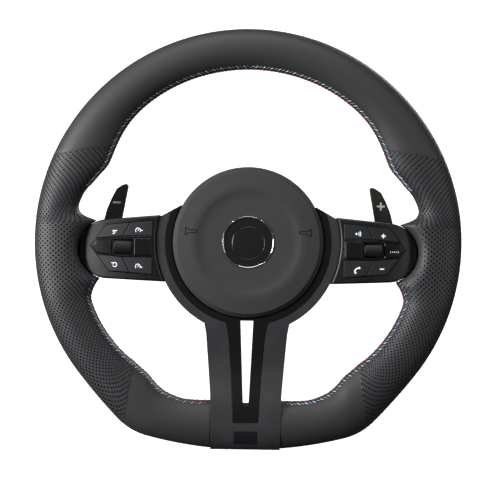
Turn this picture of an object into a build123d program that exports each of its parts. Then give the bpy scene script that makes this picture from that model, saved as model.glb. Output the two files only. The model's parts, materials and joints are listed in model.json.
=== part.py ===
from build123d import *
import math
import os

# Sport steering wheel with airbag module, switch pods and shift paddles, in millimetres.
# X points to the right, Z up, and the driver is on the -Y side. The steering axis is the
# Y axis, and the origin is where it crosses the hub's seat on the steering column.
# A depth is a distance from that seat towards the driver: depth 50 is y = -50.

# ---- overall sizes ----
RIM_R = 185.0            # half of the rim's width
FLAT_RISE = 5.5          # the flat bottom stands this far inside the rim's circle
RIM_MID = 50.0           # depth of the rim's middle plane
RIM_THICK = 31.0         # rim section along the axis
SIDE_ARC_R = 500.0       # nearly straight stretch between the round rim and the lower corner
SIDE_FROM = -38.0        # degrees, outward direction where that stretch starts
SIDE_TO = -44.0          # degrees, where it ends
FLAT_ARC_R = 340.0       # gentle curve of the flat bottom
LEATHER = 1.2
GLUE = 0.3               # layer of padding tape between leather and foam
FIT = 0.3                # gap between neighbouring trim pieces
RUN = 0.06               # radial gap of a turning fit

# Rim sections from the top to the bottom of the right side: outward direction of the outer
# edge, direction of the inner edge from the centre, and the band between them in millimetres.
UPPER_SEAM = (23.5, 35.0, 43.7)
LOWER_SEAM = (-53.2, -47.5, 42.5)
TOP_SECTIONS = [
    (90.0, 90.0, 35.0), (72.0, 72.0, 35.4), (56.0, 56.0, 36.5), (40.0, 46.0, 38.4),
    (30.0, 39.0, 41.5), UPPER_SEAM,
]
GRIP_SECTIONS = [
    UPPER_SEAM, (19.0, 28.6, 46.3), (14.5, 22.0, 42.2), (10.5, 15.0, 36.0), (8.4, 11.4, 34.8),
    (6.4, 9.0, 38.4), (5.2, 8.1, 45.0), (4.0, 7.3, 52.5), (0.0, 0.0, 56.0), (-6.0, -8.0, 55.0),
    (-10.3, -13.8, 52.8), (-14.0, -16.8, 46.0), (-18.0, -21.0, 40.2), (-27.0, -29.0, 39.8),
    (-35.0, -36.0, 40.2), (-41.0, -43.0, 41.2), LOWER_SEAM,
]
BOTTOM_SECTIONS = [
    LOWER_SEAM, (-60.0, -53.0, 42.2), (-67.0, -58.0, 38.9), (-74.0, -62.5, 37.4),
    (-78.5, -67.0, 38.0), (-81.5, -72.0, 41.0), (-84.8, -77.3, 44.8),
]

# ---- armature and hub ----
RING_INSET = 18.5        # ring's centre line, measured from the rim's outer edge
RING_R = 5.5
PLATE_R = 50.0
PLATE_BACK = 19.0
PLATE_THICK = 8.0
BOSS_R = 19.0
BORE_R = 8.75
BORE_DEPTH = 20.0
BOLT_R = 7.2
DRIVE_PIN_R = 3.0
DRIVE_PIN_X = 14.0
DRIVE_PIN_DEPTH = 8.0
ARM_THICK = 7.0
ARM_LOW, ARM_HIGH = -18.0, 6.0
ARM_STEP = RIM_MID - 11.7    # the side arms are cut back to this depth where they enter the rim
LEG_ARM_X, LEG_ARM_W = 18.0, 9.0

# ---- front trim ----
SPLIT = RIM_MID - 4.0    # parting plane between the rear cover and the front trims
AIRBAG_R = 65.0
AIRBAG_GAP = 1.0
GLOSS_BAND = 5.3
SATIN_BAND = 7.4
COLLAR_X, COLLAR_TOP = 56.3, 32.2    # point on the slanted cut of the lower cover's fork ends
COLLAR_SLOPE = 0.56
WALL = 2.5
GLOSS_R = AIRBAG_R + AIRBAG_GAP
SATIN_R = GLOSS_R + GLOSS_BAND + FIT
FORK_R = SATIN_R + SATIN_BAND
FRONT = RIM_MID + 10.0   # depth of the fork's front face
RIM_FRONT = RIM_MID + RIM_THICK / 2
FLAT_Z = FLAT_RISE - RIM_R
LEG_SLOT_TOP, LEG_SLOT_BOTTOM = -GLOSS_R - 1.5, -140.2
TUNNEL_BACK = RIM_MID - RIM_THICK / 2 + 2.3
BADGE_W, BADGE_H, BADGE_Z = 19.0, 11.2, FLAT_Z + 11.5

# ---- switch pods ----
POD_TIP = RIM_R - 38.5
POD_END_R = 25.6
POD_END_Z = -7.3
POD_TOP_LEAN, POD_LOW_LEAN = 5.2, 2.4
POD_START_R = FORK_R + 0.6
NOTCH = 0.8              # leather stands off the bezel by this
CARRIER_THICK = 4.0
BOARD_THICK = 1.6
KEY_TRAVEL = 0.8
KEY_RISE = 0.5
KEY_GAP = 0.35
STEM_R = 1.5
CLUSTER_IN = POD_START_R + 2.6
CLUSTER_TIP = POD_TIP - 10.0
STRIP_TOP, STRIP_LOW, STRIP_TIP_Z = 4.0, -14.2, -4.6
ROLLER_R = 6.2
ROLLER_X0, ROLLER_X1 = 100.2, 115.4
ROLLER_Z = -5.4
ROLLER_SINK = 3.0        # the roller's axis lies this far under the pod's face
AXLE_R = 1.5
TEETH = 28

# ---- airbag module ----
HORN_TRAVEL = 1.2
HOUSING_R = 46.0
HOUSING_BACK = 33.0
INFLATOR_R = 30.0
PIN_CIRCLE = 38.0
GUIDE_R = 2.5
EMBLEM_R = 22.5

# ---- rear cover and paddles ----
SHELL = 2.2
BACK = RIM_MID - 16.5    # back face of the cover's flat part
BOWL_BACK = 8.0
BOWL_SMALL_R, BOWL_R = 50.0, AIRBAG_R + 0.3
HUB_OPENING_R = 36.0
HINGE_X, HINGE_D = 72.0, 23.0
HINGE_R = 2.0
EYE_R = 5.0
EYE_LOW, EYE_HIGH = -14.3, 4.3
PADDLE_THICK = 4.0
MARK_THICK = 0.5
SCREW_R = 1.8


def at_depth(depth):
    """Plane square to the steering axis, facing the driver."""
    return Plane.XZ.offset(depth)


def direction(angle):
    return math.cos(math.radians(angle)), math.sin(math.radians(angle))


# ---- rim outline: four tangent arcs on each side ----
def rim_arcs():
    """Centre, radius, and the outward directions between which each right-hand arc runs."""
    nx, nz = direction(SIDE_FROM)
    side = ((RIM_R - SIDE_ARC_R) * nx, (RIM_R - SIDE_ARC_R) * nz)
    nx, nz = direction(SIDE_TO)
    end = (side[0] + SIDE_ARC_R * nx, side[1] + SIDE_ARC_R * nz)
    flat = (0.0, FLAT_Z + FLAT_ARC_R)
    vx, vz = flat[0] - end[0], flat[1] - end[1]
    corner_r = (FLAT_ARC_R**2 - vx**2 - vz**2) / (2 * (vx * nx + vz * nz + FLAT_ARC_R))
    corner = (end[0] - corner_r * nx, end[1] - corner_r * nz)
    turn = math.degrees(math.atan2(corner[1] - flat[1], corner[0]))
    return [
        ((0.0, 0.0), RIM_R, 90.0, SIDE_FROM),
        (side, SIDE_ARC_R, SIDE_FROM, SIDE_TO),
        (corner, corner_r, SIDE_TO, turn),
        (flat, FLAT_ARC_R, turn, -90.0),
    ]


def outer_point(angle):
    for centre, radius, start, stop in rim_arcs():
        if angle >= stop:
            nx, nz = direction(angle)
            return centre[0] + radius * nx, centre[1] + radius * nz
    return 0.0, FLAT_Z


def rim_loop(inset):
    """Closed centre line that runs inside the rim's outer edge."""
    for centre, radius, start, stop in rim_arcs():
        CenterArc(centre, radius - inset, stop, start - stop)
        CenterArc((-centre[0], centre[1]), radius - inset, 180.0 - start, start - stop)


def section_place(section, inset):
    """Plane across the rim, and the section's two half sizes."""
    outer_angle, inner_angle, band = section
    ox, oz = outer_point(outer_angle)
    nx, nz = direction(inner_angle)
    ix, iz = (RIM_R - band) * nx, (RIM_R - band) * nz
    width = math.hypot(ox - ix, oz - iz)
    across = Vector((ox - ix) / width, 0, (oz - iz) / width)
    plane = Plane(
        origin=((ox + ix) / 2, -RIM_MID, (oz + iz) / 2),
        x_dir=across,
        z_dir=across.cross(Vector(0, -1, 0)),
    )
    return plane, width / 2 - inset, RIM_THICK / 2 - inset


def in_between(sections):
    """The same run of sections with more set in, so that no step turns by over six degrees."""
    filled = [sections[0]]
    for before, after in zip(sections, sections[1:]):
        steps = math.ceil(abs(after[0] - before[0]) / 6.0)
        for step in range(1, steps + 1):
            share = step / steps
            filled.append(tuple(a + (b - a) * share for a, b in zip(before, after)))
    return filled


def rim_length(sections, inset, mode=Mode.ADD):
    profiles = []
    for section in in_between(sections):
        plane, half_wide, half_deep = section_place(section, inset)
        with BuildSketch(plane) as profile:
            Ellipse(half_wide, half_deep)
        profiles.append(profile.sketch)
    loft(profiles, ruled=True, mode=mode)


# ---- pod outline, right-hand side ----
def pod_side_point(angle, lean, grow, x):
    """Height at x of the straight side that leaves the round end at the given direction."""
    nx, nz = direction(angle)
    reach = POD_END_R + grow
    tx, tz = POD_TIP - POD_END_R + reach * nx, POD_END_Z + reach * nz
    return tz + (tx - x) * math.tan(math.radians(lean)), tx, tz


def pod_shape(grow=0.0):
    """Pod seen from the driver: a round end and two straight sides that run in to the hub."""
    low_x = POD_START_R / 2
    top_z, top_tx, top_tz = pod_side_point(90 - POD_TOP_LEAN, POD_TOP_LEAN, grow, low_x)
    low_z, low_tx, low_tz = pod_side_point(POD_LOW_LEAN - 90, -POD_LOW_LEAN, grow, low_x)
    with Locations((POD_TIP - POD_END_R, POD_END_Z)):
        Circle(POD_END_R + grow)
    Polygon((low_x, top_z), (top_tx, top_tz), (low_tx, low_tz), (low_x, low_z), align=None)


def under_crown(lift):
    """Trim what is being built to the pod's crowned front, raised by lift."""
    end = POD_TIP + 3.5
    with BuildSketch(Plane.XY) as profile:
        with BuildLine():
            ThreePointArc(
                (70.0, -(FRONT + 1.5 + lift)),
                (115.0, -(FRONT + lift)),
                (end, -(FRONT - 10.0 + lift)),
            )
            Polyline(
                (end, -(FRONT - 10.0 + lift)), (end, 0.0), (70.0, 0.0), (70.0, -(FRONT + 1.5 + lift))
            )
        make_face()
    extrude(profile.sketch, amount=80.0, both=True, mode=Mode.INTERSECT)


def crown_edges(builder):
    return builder.faces().sort_by(Axis.Y)[0].edges()


# Corners of the switch group, seen from the driver.
UPPER_SPLIT_X, LOWER_SPLIT_X = 107.7, 108.2
TIP = (CLUSTER_TIP, STRIP_TIP_Z)
UPPER_CORNER = (CLUSTER_TIP - 14.2, 13.6)
LOWER_CORNER = (CLUSTER_TIP - 17.0, -26.6)
CLUSTER = [(CLUSTER_IN, 17.3), UPPER_CORNER, TIP, LOWER_CORNER, (CLUSTER_IN, -29.2)]


def beside_tip(corner, z):
    """Point at a height on the straight side from the group's tip to a corner."""
    share = (z - TIP[1]) / (corner[1] - TIP[1])
    return TIP[0] + (corner[0] - TIP[0]) * share, z


UPPER_SIDE = beside_tip(UPPER_CORNER, 1.6)
LOWER_SIDE = beside_tip(LOWER_CORNER, -12.0)
MATT_KEYS = {
    "upper_outer": [
        (UPPER_SPLIT_X, STRIP_TOP), (101.6, 15.5), UPPER_CORNER, UPPER_SIDE,
    ],
    "upper_inner": [
        (CLUSTER_IN, STRIP_TOP), (CLUSTER_IN, 17.3), (101.6, 15.5), (UPPER_SPLIT_X, STRIP_TOP),
    ],
    "lower_outer": [
        LOWER_SIDE, LOWER_CORNER, (101.9, -27.4), (LOWER_SPLIT_X, STRIP_LOW),
    ],
    "lower_inner": [
        (CLUSTER_IN, STRIP_LOW), (LOWER_SPLIT_X, STRIP_LOW), (101.9, -27.4), (CLUSTER_IN, -29.2),
    ],
}
STRIP = [
    (CLUSTER_IN, STRIP_TOP), (UPPER_SPLIT_X, STRIP_TOP), UPPER_SIDE, TIP, LOWER_SIDE,
    (LOWER_SPLIT_X, STRIP_LOW), (CLUSTER_IN, STRIP_LOW),
]
GLOSS_KEYS = {
    "gloss_outer": [
        (117.4, 1.6), (CLUSTER_TIP - 6.0, 0.2), (CLUSTER_TIP - 1.8, STRIP_TIP_Z),
        (CLUSTER_TIP - 6.2, -10.6), (117.4, -12.2),
    ],
    "gloss_inner": [(CLUSTER_IN + 1.3, 2.4), (98.2, 2.4), (98.2, -12.6), (CLUSTER_IN + 1.3, -12.6)],
}
STEMS = {
    "upper_outer": [(111.0, 9.0), (122.0, 6.5)],
    "upper_inner": [(87.5, 10.5), (99.5, 9.5)],
    "lower_outer": [(110.5, -20.5), (121.0, -19.0)],
    "lower_inner": [(87.5, -21.5), (99.5, -20.5)],
    "gloss_outer": [(126.0, -5.2)],
    "gloss_inner": [(90.0, -5.2)],
}


def shrunk(points, gap):
    """Face inside a closed outline, drawn a gap inside its corners."""
    Polygon(*points, align=None)
    offset(amount=-gap, kind=Kind.INTERSECTION, mode=Mode.REPLACE)


def left_of(piece):
    """The same piece on the other side of the wheel."""
    with BuildPart() as other:
        mirror(piece, about=Plane.YZ)
    return other.part


PIECES = {}


def keep(name, piece):
    piece.label = name
    PIECES[name] = piece


def keep_pair(name, piece):
    keep("right_" + name, piece)
    keep("left_" + name, left_of(piece))


# ---- armature ----
def arm_band(plane, height, points):
    """One cast arm: a bent strip of the arm's thickness."""
    with BuildSketch(plane) as strip:
        with BuildLine():
            FilletPolyline(*points, radius=6.0)
        trace(line_width=ARM_THICK)
    extrude(strip.sketch, amount=height)


SIDE_ARM = [
    (30.0, -(PLATE_BACK + 4.0)), (45.0, -(PLATE_BACK + 4.0)), (57.0, -(RIM_MID - 10.3)),
    (80.0, -(RIM_MID - 10.0)), (POD_TIP + 1.0, -(RIM_MID - 10.0)), (RIM_R - RING_INSET, -RIM_MID),
]
LEG_ARM = [
    (-(PLATE_BACK + 4.0), -30.0), (-(PLATE_BACK + 4.0), -42.0), (-(RIM_MID - 10.0), -56.0),
    (-(RIM_MID - 9.0), -100.0), (-RIM_MID, FLAT_Z + RING_INSET),
]


with BuildPart() as armature_solid:
    with BuildSketch(at_depth(PLATE_BACK)):
        Circle(PLATE_R)
    extrude(amount=PLATE_THICK)
    arm_band(Plane.XY.offset(ARM_LOW), ARM_HIGH - ARM_LOW, SIDE_ARM)
    arm_band(Plane.YZ.offset(LEG_ARM_X), LEG_ARM_W, LEG_ARM)
    with BuildSketch(at_depth(0.0)):
        with Locations((POD_TIP, (ARM_LOW + ARM_HIGH) / 2)):
            Rectangle(10.0, ARM_HIGH - ARM_LOW)
    extrude(amount=ARM_STEP, mode=Mode.SUBTRACT)
    mirror(about=Plane.YZ)
    with BuildLine(at_depth(RIM_MID)) as ring:
        rim_loop(RING_INSET)
    with BuildSketch(Plane(origin=ring.line @ 0, z_dir=ring.line % 0)):
        Circle(RING_R)
    sweep()

HARNESS_HOLE = (24.0, 29.5)
LOWER_SCREW_Z = -120.0
ARM_SCREW_X = POD_TIP - 22.0
ARM_SCREW_Z = -6.0

with BuildPart() as armature:
    add(armature_solid.part)
    with BuildSketch(at_depth(0.0)):
        Circle(BOSS_R)
        with PolarLocations(PIN_CIRCLE, 3, start_angle=90):
            Circle(GUIDE_R + 0.3)
        with Locations(HARNESS_HOLE, (-HARNESS_HOLE[0], HARNESS_HOLE[1])):
            Circle(3.0)
    extrude(amount=PLATE_BACK + PLATE_THICK, mode=Mode.SUBTRACT)
    with BuildSketch(at_depth(BACK)):
        with Locations(
            (ARM_SCREW_X, ARM_SCREW_Z), (-ARM_SCREW_X, ARM_SCREW_Z),
            (LEG_ARM_X + LEG_ARM_W / 2, LOWER_SCREW_Z), (-LEG_ARM_X - LEG_ARM_W / 2, LOWER_SCREW_Z),
        ):
            Circle(SCREW_R)
    extrude(amount=12.0, mode=Mode.SUBTRACT)
keep("armature", armature.part)

with BuildPart() as hub_insert:
    with BuildSketch(at_depth(0.0)):
        Circle(BOSS_R)
        Circle(BORE_R, mode=Mode.SUBTRACT)
        with Locations((DRIVE_PIN_X, 0)):
            Circle(DRIVE_PIN_R, mode=Mode.SUBTRACT)
    extrude(amount=BORE_DEPTH)
    with BuildSketch(at_depth(BORE_DEPTH)):
        Circle(BOSS_R)
        Circle(BOLT_R, mode=Mode.SUBTRACT)
    extrude(amount=PLATE_BACK + PLATE_THICK - BORE_DEPTH)
    with BuildSketch(at_depth(DRIVE_PIN_DEPTH)):
        with Locations((DRIVE_PIN_X, 0)):
            Circle(DRIVE_PIN_R)
    extrude(amount=BORE_DEPTH - DRIVE_PIN_DEPTH)
keep("hub_insert", hub_insert.part)


# ---- rim foam and leather ----
with BuildPart() as pod_room:
    with BuildSketch(at_depth(RIM_MID - RIM_THICK)):
        pod_shape(grow=NOTCH)
        Circle(POD_START_R, mode=Mode.SUBTRACT)
    extrude(amount=2 * RIM_THICK)
    mirror(about=Plane.YZ)

with BuildPart() as rim_foam:
    rim_length(TOP_SECTIONS + GRIP_SECTIONS[1:] + BOTTOM_SECTIONS[1:], LEATHER + GLUE)
    mirror(about=Plane.YZ)
    add(pod_room.part, mode=Mode.SUBTRACT)
    add(armature_solid.part, mode=Mode.SUBTRACT)
keep("rim_foam", rim_foam.part)

with BuildPart() as leather_top:
    rim_length(TOP_SECTIONS, 0.0)
    rim_length(TOP_SECTIONS, LEATHER, mode=Mode.SUBTRACT)
    mirror(about=Plane.YZ)
keep("leather_top", leather_top.part)

with BuildPart() as leather_grip:
    rim_length(GRIP_SECTIONS, 0.0)
    rim_length(GRIP_SECTIONS, LEATHER, mode=Mode.SUBTRACT)
    add(pod_room.part, mode=Mode.SUBTRACT)
keep("leather_right_grip", leather_grip.part)
keep("leather_left_grip", left_of(leather_grip.part))

with BuildPart() as leather_bottom:
    rim_length(BOTTOM_SECTIONS, 0.0)
    rim_length(BOTTOM_SECTIONS, LEATHER, mode=Mode.SUBTRACT)
keep("leather_bottom_right", leather_bottom.part)
keep("leather_bottom_left", left_of(leather_bottom.part))


# ---- lower spoke: satin cover, gloss insert, badge ----
BOTTOM_MID = FLAT_Z + 21.3     # height of the rim section's middle at the bottom


def leg_skin(lift):
    """Everything behind the lower spoke's front skin, raised by lift."""
    with BuildPart() as skin:
        with BuildSketch(Plane.YZ):
            with BuildLine():
                Polyline(
                    (-(FRONT + lift), -62.0), (-(FRONT + lift), RIM_R), (0.0, RIM_R),
                    (0.0, FLAT_Z - lift), (-RIM_MID, FLAT_Z - lift),
                )
                Spline(
                    (-(FRONT + lift), -62.0), (-(FRONT - 2.8 + lift), -106.0),
                    (-(RIM_FRONT + lift), BOTTOM_MID),
                    tangents=[(0, -1), (0, -1)],
                )
                EllipticalCenterArc(
                    (-RIM_MID, BOTTOM_MID), RIM_THICK / 2 + lift, BOTTOM_MID - FLAT_Z + lift,
                    start_angle=180.0, arc_size=90.0,
                )
            make_face()
        extrude(amount=RIM_R, both=True)
    return skin.part


def leg_back(inset, open_depth):
    """Everything in front of the rear cover's lower spoke, drawn inset from its outside."""
    reach = RIM_THICK / 2 - inset
    drop = BOTTOM_MID - FLAT_Z - inset
    turn = math.degrees(math.acos((RIM_MID - open_depth) / reach))
    foot = BOTTOM_MID - drop * math.sin(math.radians(turn))
    with BuildPart() as back:
        with BuildSketch(Plane.YZ):
            with BuildLine():
                Polyline(
                    (-open_depth, foot), (-open_depth, -40.0), (-(BACK + inset), -40.0),
                    (-(BACK + inset), -100.0), (-(RIM_MID - reach), BOTTOM_MID),
                )
                EllipticalCenterArc(
                    (-RIM_MID, BOTTOM_MID), reach, drop, start_angle=360.0 - turn, arc_size=turn
                )
            make_face()
        extrude(amount=RIM_R, both=True)
    return back.part


def leg_outline(inset=0.0):
    """The lower spoke seen from the driver."""
    Polygon(
        (-38.5 + inset, -60.0), (-35.0 + inset, -79.0), (-30.7 + inset, -131.0),
        (-30.0 + inset, FLAT_Z - 2.0), (30.0 - inset, FLAT_Z - 2.0), (30.7 - inset, -131.0),
        (35.0 - inset, -79.0), (38.5 - inset, -60.0), align=None,
    )


def gloss_leg(grow=0.0, mode=Mode.ADD):
    """The gloss V under the airbag, seen from the driver."""
    Polygon(
        (-18.4 - grow, -66.0), (-15.1 - grow, -83.4), (-13.0 - grow, -112.4),
        (-10.5 - grow, -154.7 - grow), (10.5 + grow, -154.7 - grow), (13.0 + grow, -112.4),
        (15.1 + grow, -83.4), (18.4 + grow, -66.0), align=None, mode=mode,
    )


def slot_outline(grow=0.0):
    Polygon(
        (-5.6 - grow, LEG_SLOT_TOP + grow), (-2.5 - grow, LEG_SLOT_BOTTOM - grow),
        (2.5 + grow, LEG_SLOT_BOTTOM - grow), (5.6 + grow, LEG_SLOT_TOP + grow), align=None,
    )


def below(height):
    """Keep only what lies under the slanted cut of the fork ends, which is at height over COLLAR_X."""
    high = height + COLLAR_SLOPE * COLLAR_X
    low = high - COLLAR_SLOPE * RIM_R
    Polygon(
        (-RIM_R, low), (0.0, high), (RIM_R, low), (RIM_R, -2 * RIM_R), (-RIM_R, -2 * RIM_R),
        align=None, mode=Mode.INTERSECT,
    )


front_skin = leg_skin(0.0)
gloss_skin = leg_skin(0.3)
gloss_floor = leg_skin(-3.0)
cavity_skin = leg_skin(-WALL)
pocket_skin = leg_skin(-1.0)
badge_skin = leg_skin(0.5)

with BuildPart() as ring_passage:
    with BuildSketch(Plane.YZ):
        with Locations((-RIM_MID, FLAT_Z + RING_INSET)):
            Circle(RING_R + 2.0)
    extrude(amount=40.0, both=True)

with BuildPart() as badge_pocket:
    with BuildSketch(at_depth(RIM_MID)):
        with Locations((0, BADGE_Z)):
            Rectangle(BADGE_W + FIT, BADGE_H + FIT)
    extrude(amount=RIM_THICK)
    add(pocket_skin, mode=Mode.SUBTRACT)

with BuildPart() as leg_cavity:
    with BuildSketch(at_depth(SPLIT)):
        leg_outline(inset=WALL)
        Circle(SATIN_R + WALL, mode=Mode.SUBTRACT)
        gloss_leg(grow=FIT + WALL, mode=Mode.SUBTRACT)
    extrude(amount=RIM_THICK)
    add(cavity_skin, mode=Mode.INTERSECT)

with BuildPart() as lower_spoke_cover:
    with BuildSketch(at_depth(SPLIT + 0.2)):
        Circle(FORK_R)
        leg_outline()
        below(COLLAR_TOP)
        Circle(SATIN_R, mode=Mode.SUBTRACT)
        gloss_leg(grow=FIT, mode=Mode.SUBTRACT)
    extrude(amount=RIM_THICK)
    add(front_skin, mode=Mode.INTERSECT)
    add(leg_cavity.part, mode=Mode.SUBTRACT)
    add(badge_pocket.part, mode=Mode.SUBTRACT)
    add(ring_passage.part, mode=Mode.SUBTRACT)
keep("lower_spoke_cover", lower_spoke_cover.part)

with BuildPart() as gloss_spoke_insert:
    with BuildSketch(at_depth(SPLIT + 0.2)):
        gloss_leg()
    extrude(amount=RIM_THICK)
    add(gloss_floor, mode=Mode.SUBTRACT)
    with BuildSketch(at_depth(TUNNEL_BACK)):
        slot_outline(grow=1.5)
    extrude(amount=RIM_THICK)
    with BuildSketch(at_depth(SPLIT + 0.2)):
        Circle(SATIN_R - FIT)
        below(COLLAR_TOP)
    extrude(amount=RIM_THICK)
    with BuildSketch(at_depth(0.0)):
        Circle(GLOSS_R)
    extrude(amount=2 * RIM_MID, mode=Mode.SUBTRACT)
    add(gloss_skin, mode=Mode.INTERSECT)
    with BuildSketch(at_depth(0.0)):
        slot_outline()
    extrude(amount=2 * RIM_MID, mode=Mode.SUBTRACT)
keep("gloss_spoke_insert", gloss_spoke_insert.part)

with BuildPart() as badge_plate:
    with BuildSketch(at_depth(RIM_MID)):
        with Locations((0, BADGE_Z)):
            RectangleRounded(BADGE_W, BADGE_H, 1.0)
    extrude(amount=RIM_THICK)
    add(badge_skin, mode=Mode.INTERSECT)
    add(pocket_skin, mode=Mode.SUBTRACT)
keep("badge_plate", badge_plate.part)


# ---- switch pods ----
with BuildPart() as bezel:
    with BuildSketch(at_depth(SPLIT + 0.2)):
        pod_shape()
        Circle(POD_START_R, mode=Mode.SUBTRACT)
    extrude(amount=RIM_THICK)
    under_crown(0.0)
    fillet(crown_edges(bezel), 2.0)
    with BuildSketch(at_depth(SPLIT)):
        shrunk(CLUSTER, -KEY_GAP / 2)
    extrude(amount=RIM_THICK, mode=Mode.SUBTRACT)
    with BuildSketch(at_depth(SPLIT)):
        pod_shape(-SHELL)
        Circle(POD_START_R + 1.6, mode=Mode.SUBTRACT)
    extrude(amount=CARRIER_THICK + 0.1, mode=Mode.SUBTRACT)
keep_pair("spoke_bezel", bezel.part)

BOARD_END = POD_TIP - 9.0


def board_outline():
    pod_shape(-SHELL - 0.4 - FIT)
    Circle(POD_START_R + 1.6 + FIT, mode=Mode.SUBTRACT)
    Polygon(
        (0, -RIM_R), (BOARD_END, -RIM_R), (BOARD_END, RIM_R), (0, RIM_R), align=None,
        mode=Mode.INTERSECT,
    )


STEM_SITES = [site for name in STEMS for site in STEMS[name]]
ROLLER_MID = (ROLLER_X0 + ROLLER_X1) / 2
ROLLER_LONG = ROLLER_X1 - ROLLER_X0
ROLLER_DEPTH = FRONT + 0.4 - ROLLER_SINK

with BuildPart() as carrier:
    with BuildSketch(at_depth(SPLIT)):
        board_outline()
        with Locations(*STEM_SITES):
            Circle(STEM_R + 0.7, mode=Mode.SUBTRACT)
    extrude(amount=CARRIER_THICK)
    with BuildSketch(at_depth(ROLLER_DEPTH - ROLLER_R - FIT)):
        with Locations((ROLLER_MID, ROLLER_Z)):
            Rectangle(ROLLER_LONG + 1.0, 2 * ROLLER_R + 1.0)
    extrude(amount=RIM_THICK, mode=Mode.SUBTRACT)
keep_pair("switch_carrier", carrier.part)

with BuildPart() as board:
    with BuildSketch(at_depth(SPLIT - BOARD_THICK)):
        board_outline()
    extrude(amount=BOARD_THICK)
    with BuildSketch(at_depth(SPLIT)):
        with Locations(*STEM_SITES):
            Circle(STEM_R + 0.3)
    extrude(amount=1.0)
keep_pair("switch_board", board.part)

KEY_FLOOR = SPLIT + CARRIER_THICK + KEY_TRAVEL + 0.2


def make_key(outline, stems, gap, lift):
    with BuildPart() as key:
        with BuildSketch(at_depth(KEY_FLOOR)) as face:
            shrunk(outline, gap)
        extrude(face.sketch, amount=RIM_THICK)
        under_crown(lift)
        fillet(crown_edges(key), 0.7)
        with BuildSketch(at_depth(SPLIT + 2.0)) as feet:
            with Locations(*stems):
                Circle(STEM_R)
        extrude(feet.sketch, amount=KEY_FLOOR - SPLIT - 2.0)
    return key.part


for name, outline in MATT_KEYS.items():
    keep_pair(f"key_{name}", make_key(outline, STEMS[name], KEY_GAP / 2, KEY_RISE))
for name, outline in GLOSS_KEYS.items():
    keep_pair(f"key_{name}", make_key(outline, STEMS[name], KEY_GAP / 2, KEY_RISE + 0.1))

with BuildPart() as strip:
    with BuildSketch(at_depth(SPLIT + CARRIER_THICK)):
        shrunk(STRIP, KEY_GAP / 2)
    extrude(amount=RIM_THICK)
    under_crown(KEY_RISE - 0.1)
    fillet(crown_edges(strip), 0.5)
    for outline in GLOSS_KEYS.values():
        with BuildSketch(at_depth(SPLIT)) as window:
            shrunk(outline, -KEY_GAP / 2)
        extrude(window.sketch, amount=RIM_THICK, mode=Mode.SUBTRACT)
    with BuildSketch(at_depth(SPLIT)):
        with Locations((ROLLER_MID, ROLLER_Z)):
            Rectangle(ROLLER_LONG + 2 * FIT, 2 * (ROLLER_R + FIT))
    extrude(amount=RIM_THICK, mode=Mode.SUBTRACT)
    with BuildSketch(Plane.YZ.offset(ROLLER_X0 - 1.6)):
        with Locations((-ROLLER_DEPTH, ROLLER_Z)):
            Circle(AXLE_R + RUN)
    extrude(amount=ROLLER_LONG + 3.2, mode=Mode.SUBTRACT)
keep_pair("gloss_strip", strip.part)

with BuildPart() as roller:
    with BuildSketch(Plane.YZ.offset(ROLLER_X0)):
        with Locations((-ROLLER_DEPTH, ROLLER_Z)):
            Circle(ROLLER_R)
    extrude(amount=ROLLER_LONG)
    fillet(roller.edges(), 0.8)
    with BuildSketch(Plane.YZ.offset(ROLLER_X0)):
        with Locations((-ROLLER_DEPTH, ROLLER_Z)):
            with PolarLocations(ROLLER_R, TEETH):
                Rectangle(0.8, 0.55)
    extrude(amount=ROLLER_LONG, mode=Mode.SUBTRACT)
    with BuildSketch(Plane.YZ.offset(ROLLER_X0 - 1.5)):
        with Locations((-ROLLER_DEPTH, ROLLER_Z)):
            Circle(AXLE_R)
    extrude(amount=ROLLER_LONG + 3.0)
keep_pair("roller", roller.part)


# ---- airbag module ----
def turned(*points):
    """Face of a turned part: radius and depth of each corner."""
    Polygon(*[(radius, -depth) for radius, depth in points], align=None)


COVER_BACK = SPLIT
COVER_TOP = RIM_FRONT + 0.5
EMBLEM_FLOOR = COVER_TOP - 4.2

with BuildPart() as airbag_cover:
    with BuildSketch(Plane.XY) as face:
        turned(
            (AIRBAG_R, COVER_BACK), (AIRBAG_R, COVER_TOP - 6.2), (AIRBAG_R - 3.5, COVER_TOP - 1.8),
            (AIRBAG_R - 18.0, COVER_TOP), (37.0, COVER_TOP - 2.2),
            (EMBLEM_R + 0.2, COVER_TOP - 2.4), (EMBLEM_R + 0.2, EMBLEM_FLOOR), (0, EMBLEM_FLOOR),
            (0, EMBLEM_FLOOR - WALL), (37.0, COVER_TOP - 5.2), (AIRBAG_R - 15.0, COVER_TOP - 3.2),
            (AIRBAG_R - 2.8, COVER_TOP - 8.0), (AIRBAG_R - 2.8, COVER_BACK),
        )
        for radius, depth, size in (
            (AIRBAG_R, COVER_TOP - 6.2, 2.0), (AIRBAG_R - 3.5, COVER_TOP - 1.8, 1.0),
            (AIRBAG_R - 18.0, COVER_TOP, 20.0),
        ):
            fillet(face.vertices().sort_by_distance((radius, -depth))[0], size)
    revolve(axis=Axis.Y)
    with BuildSketch(Plane.XY):
        turned(
            (HOUSING_R, COVER_BACK - 8.0), (HOUSING_R + WALL, COVER_BACK - 8.0),
            (HOUSING_R + WALL, COVER_TOP - 2.8), (HOUSING_R, COVER_TOP - 3.0),
        )
    revolve(axis=Axis.Y)
keep("airbag_cover", airbag_cover.part)

with BuildPart() as emblem_ring:
    with BuildSketch(Plane.XY):
        turned(
            (EMBLEM_R - 1.4, EMBLEM_FLOOR), (EMBLEM_R, EMBLEM_FLOOR), (EMBLEM_R, COVER_TOP - 1.9),
            (EMBLEM_R - 0.6, COVER_TOP - 1.5), (EMBLEM_R - 1.4, COVER_TOP - 2.0),
        )
    revolve(axis=Axis.Y)
keep("emblem_ring", emblem_ring.part)

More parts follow.
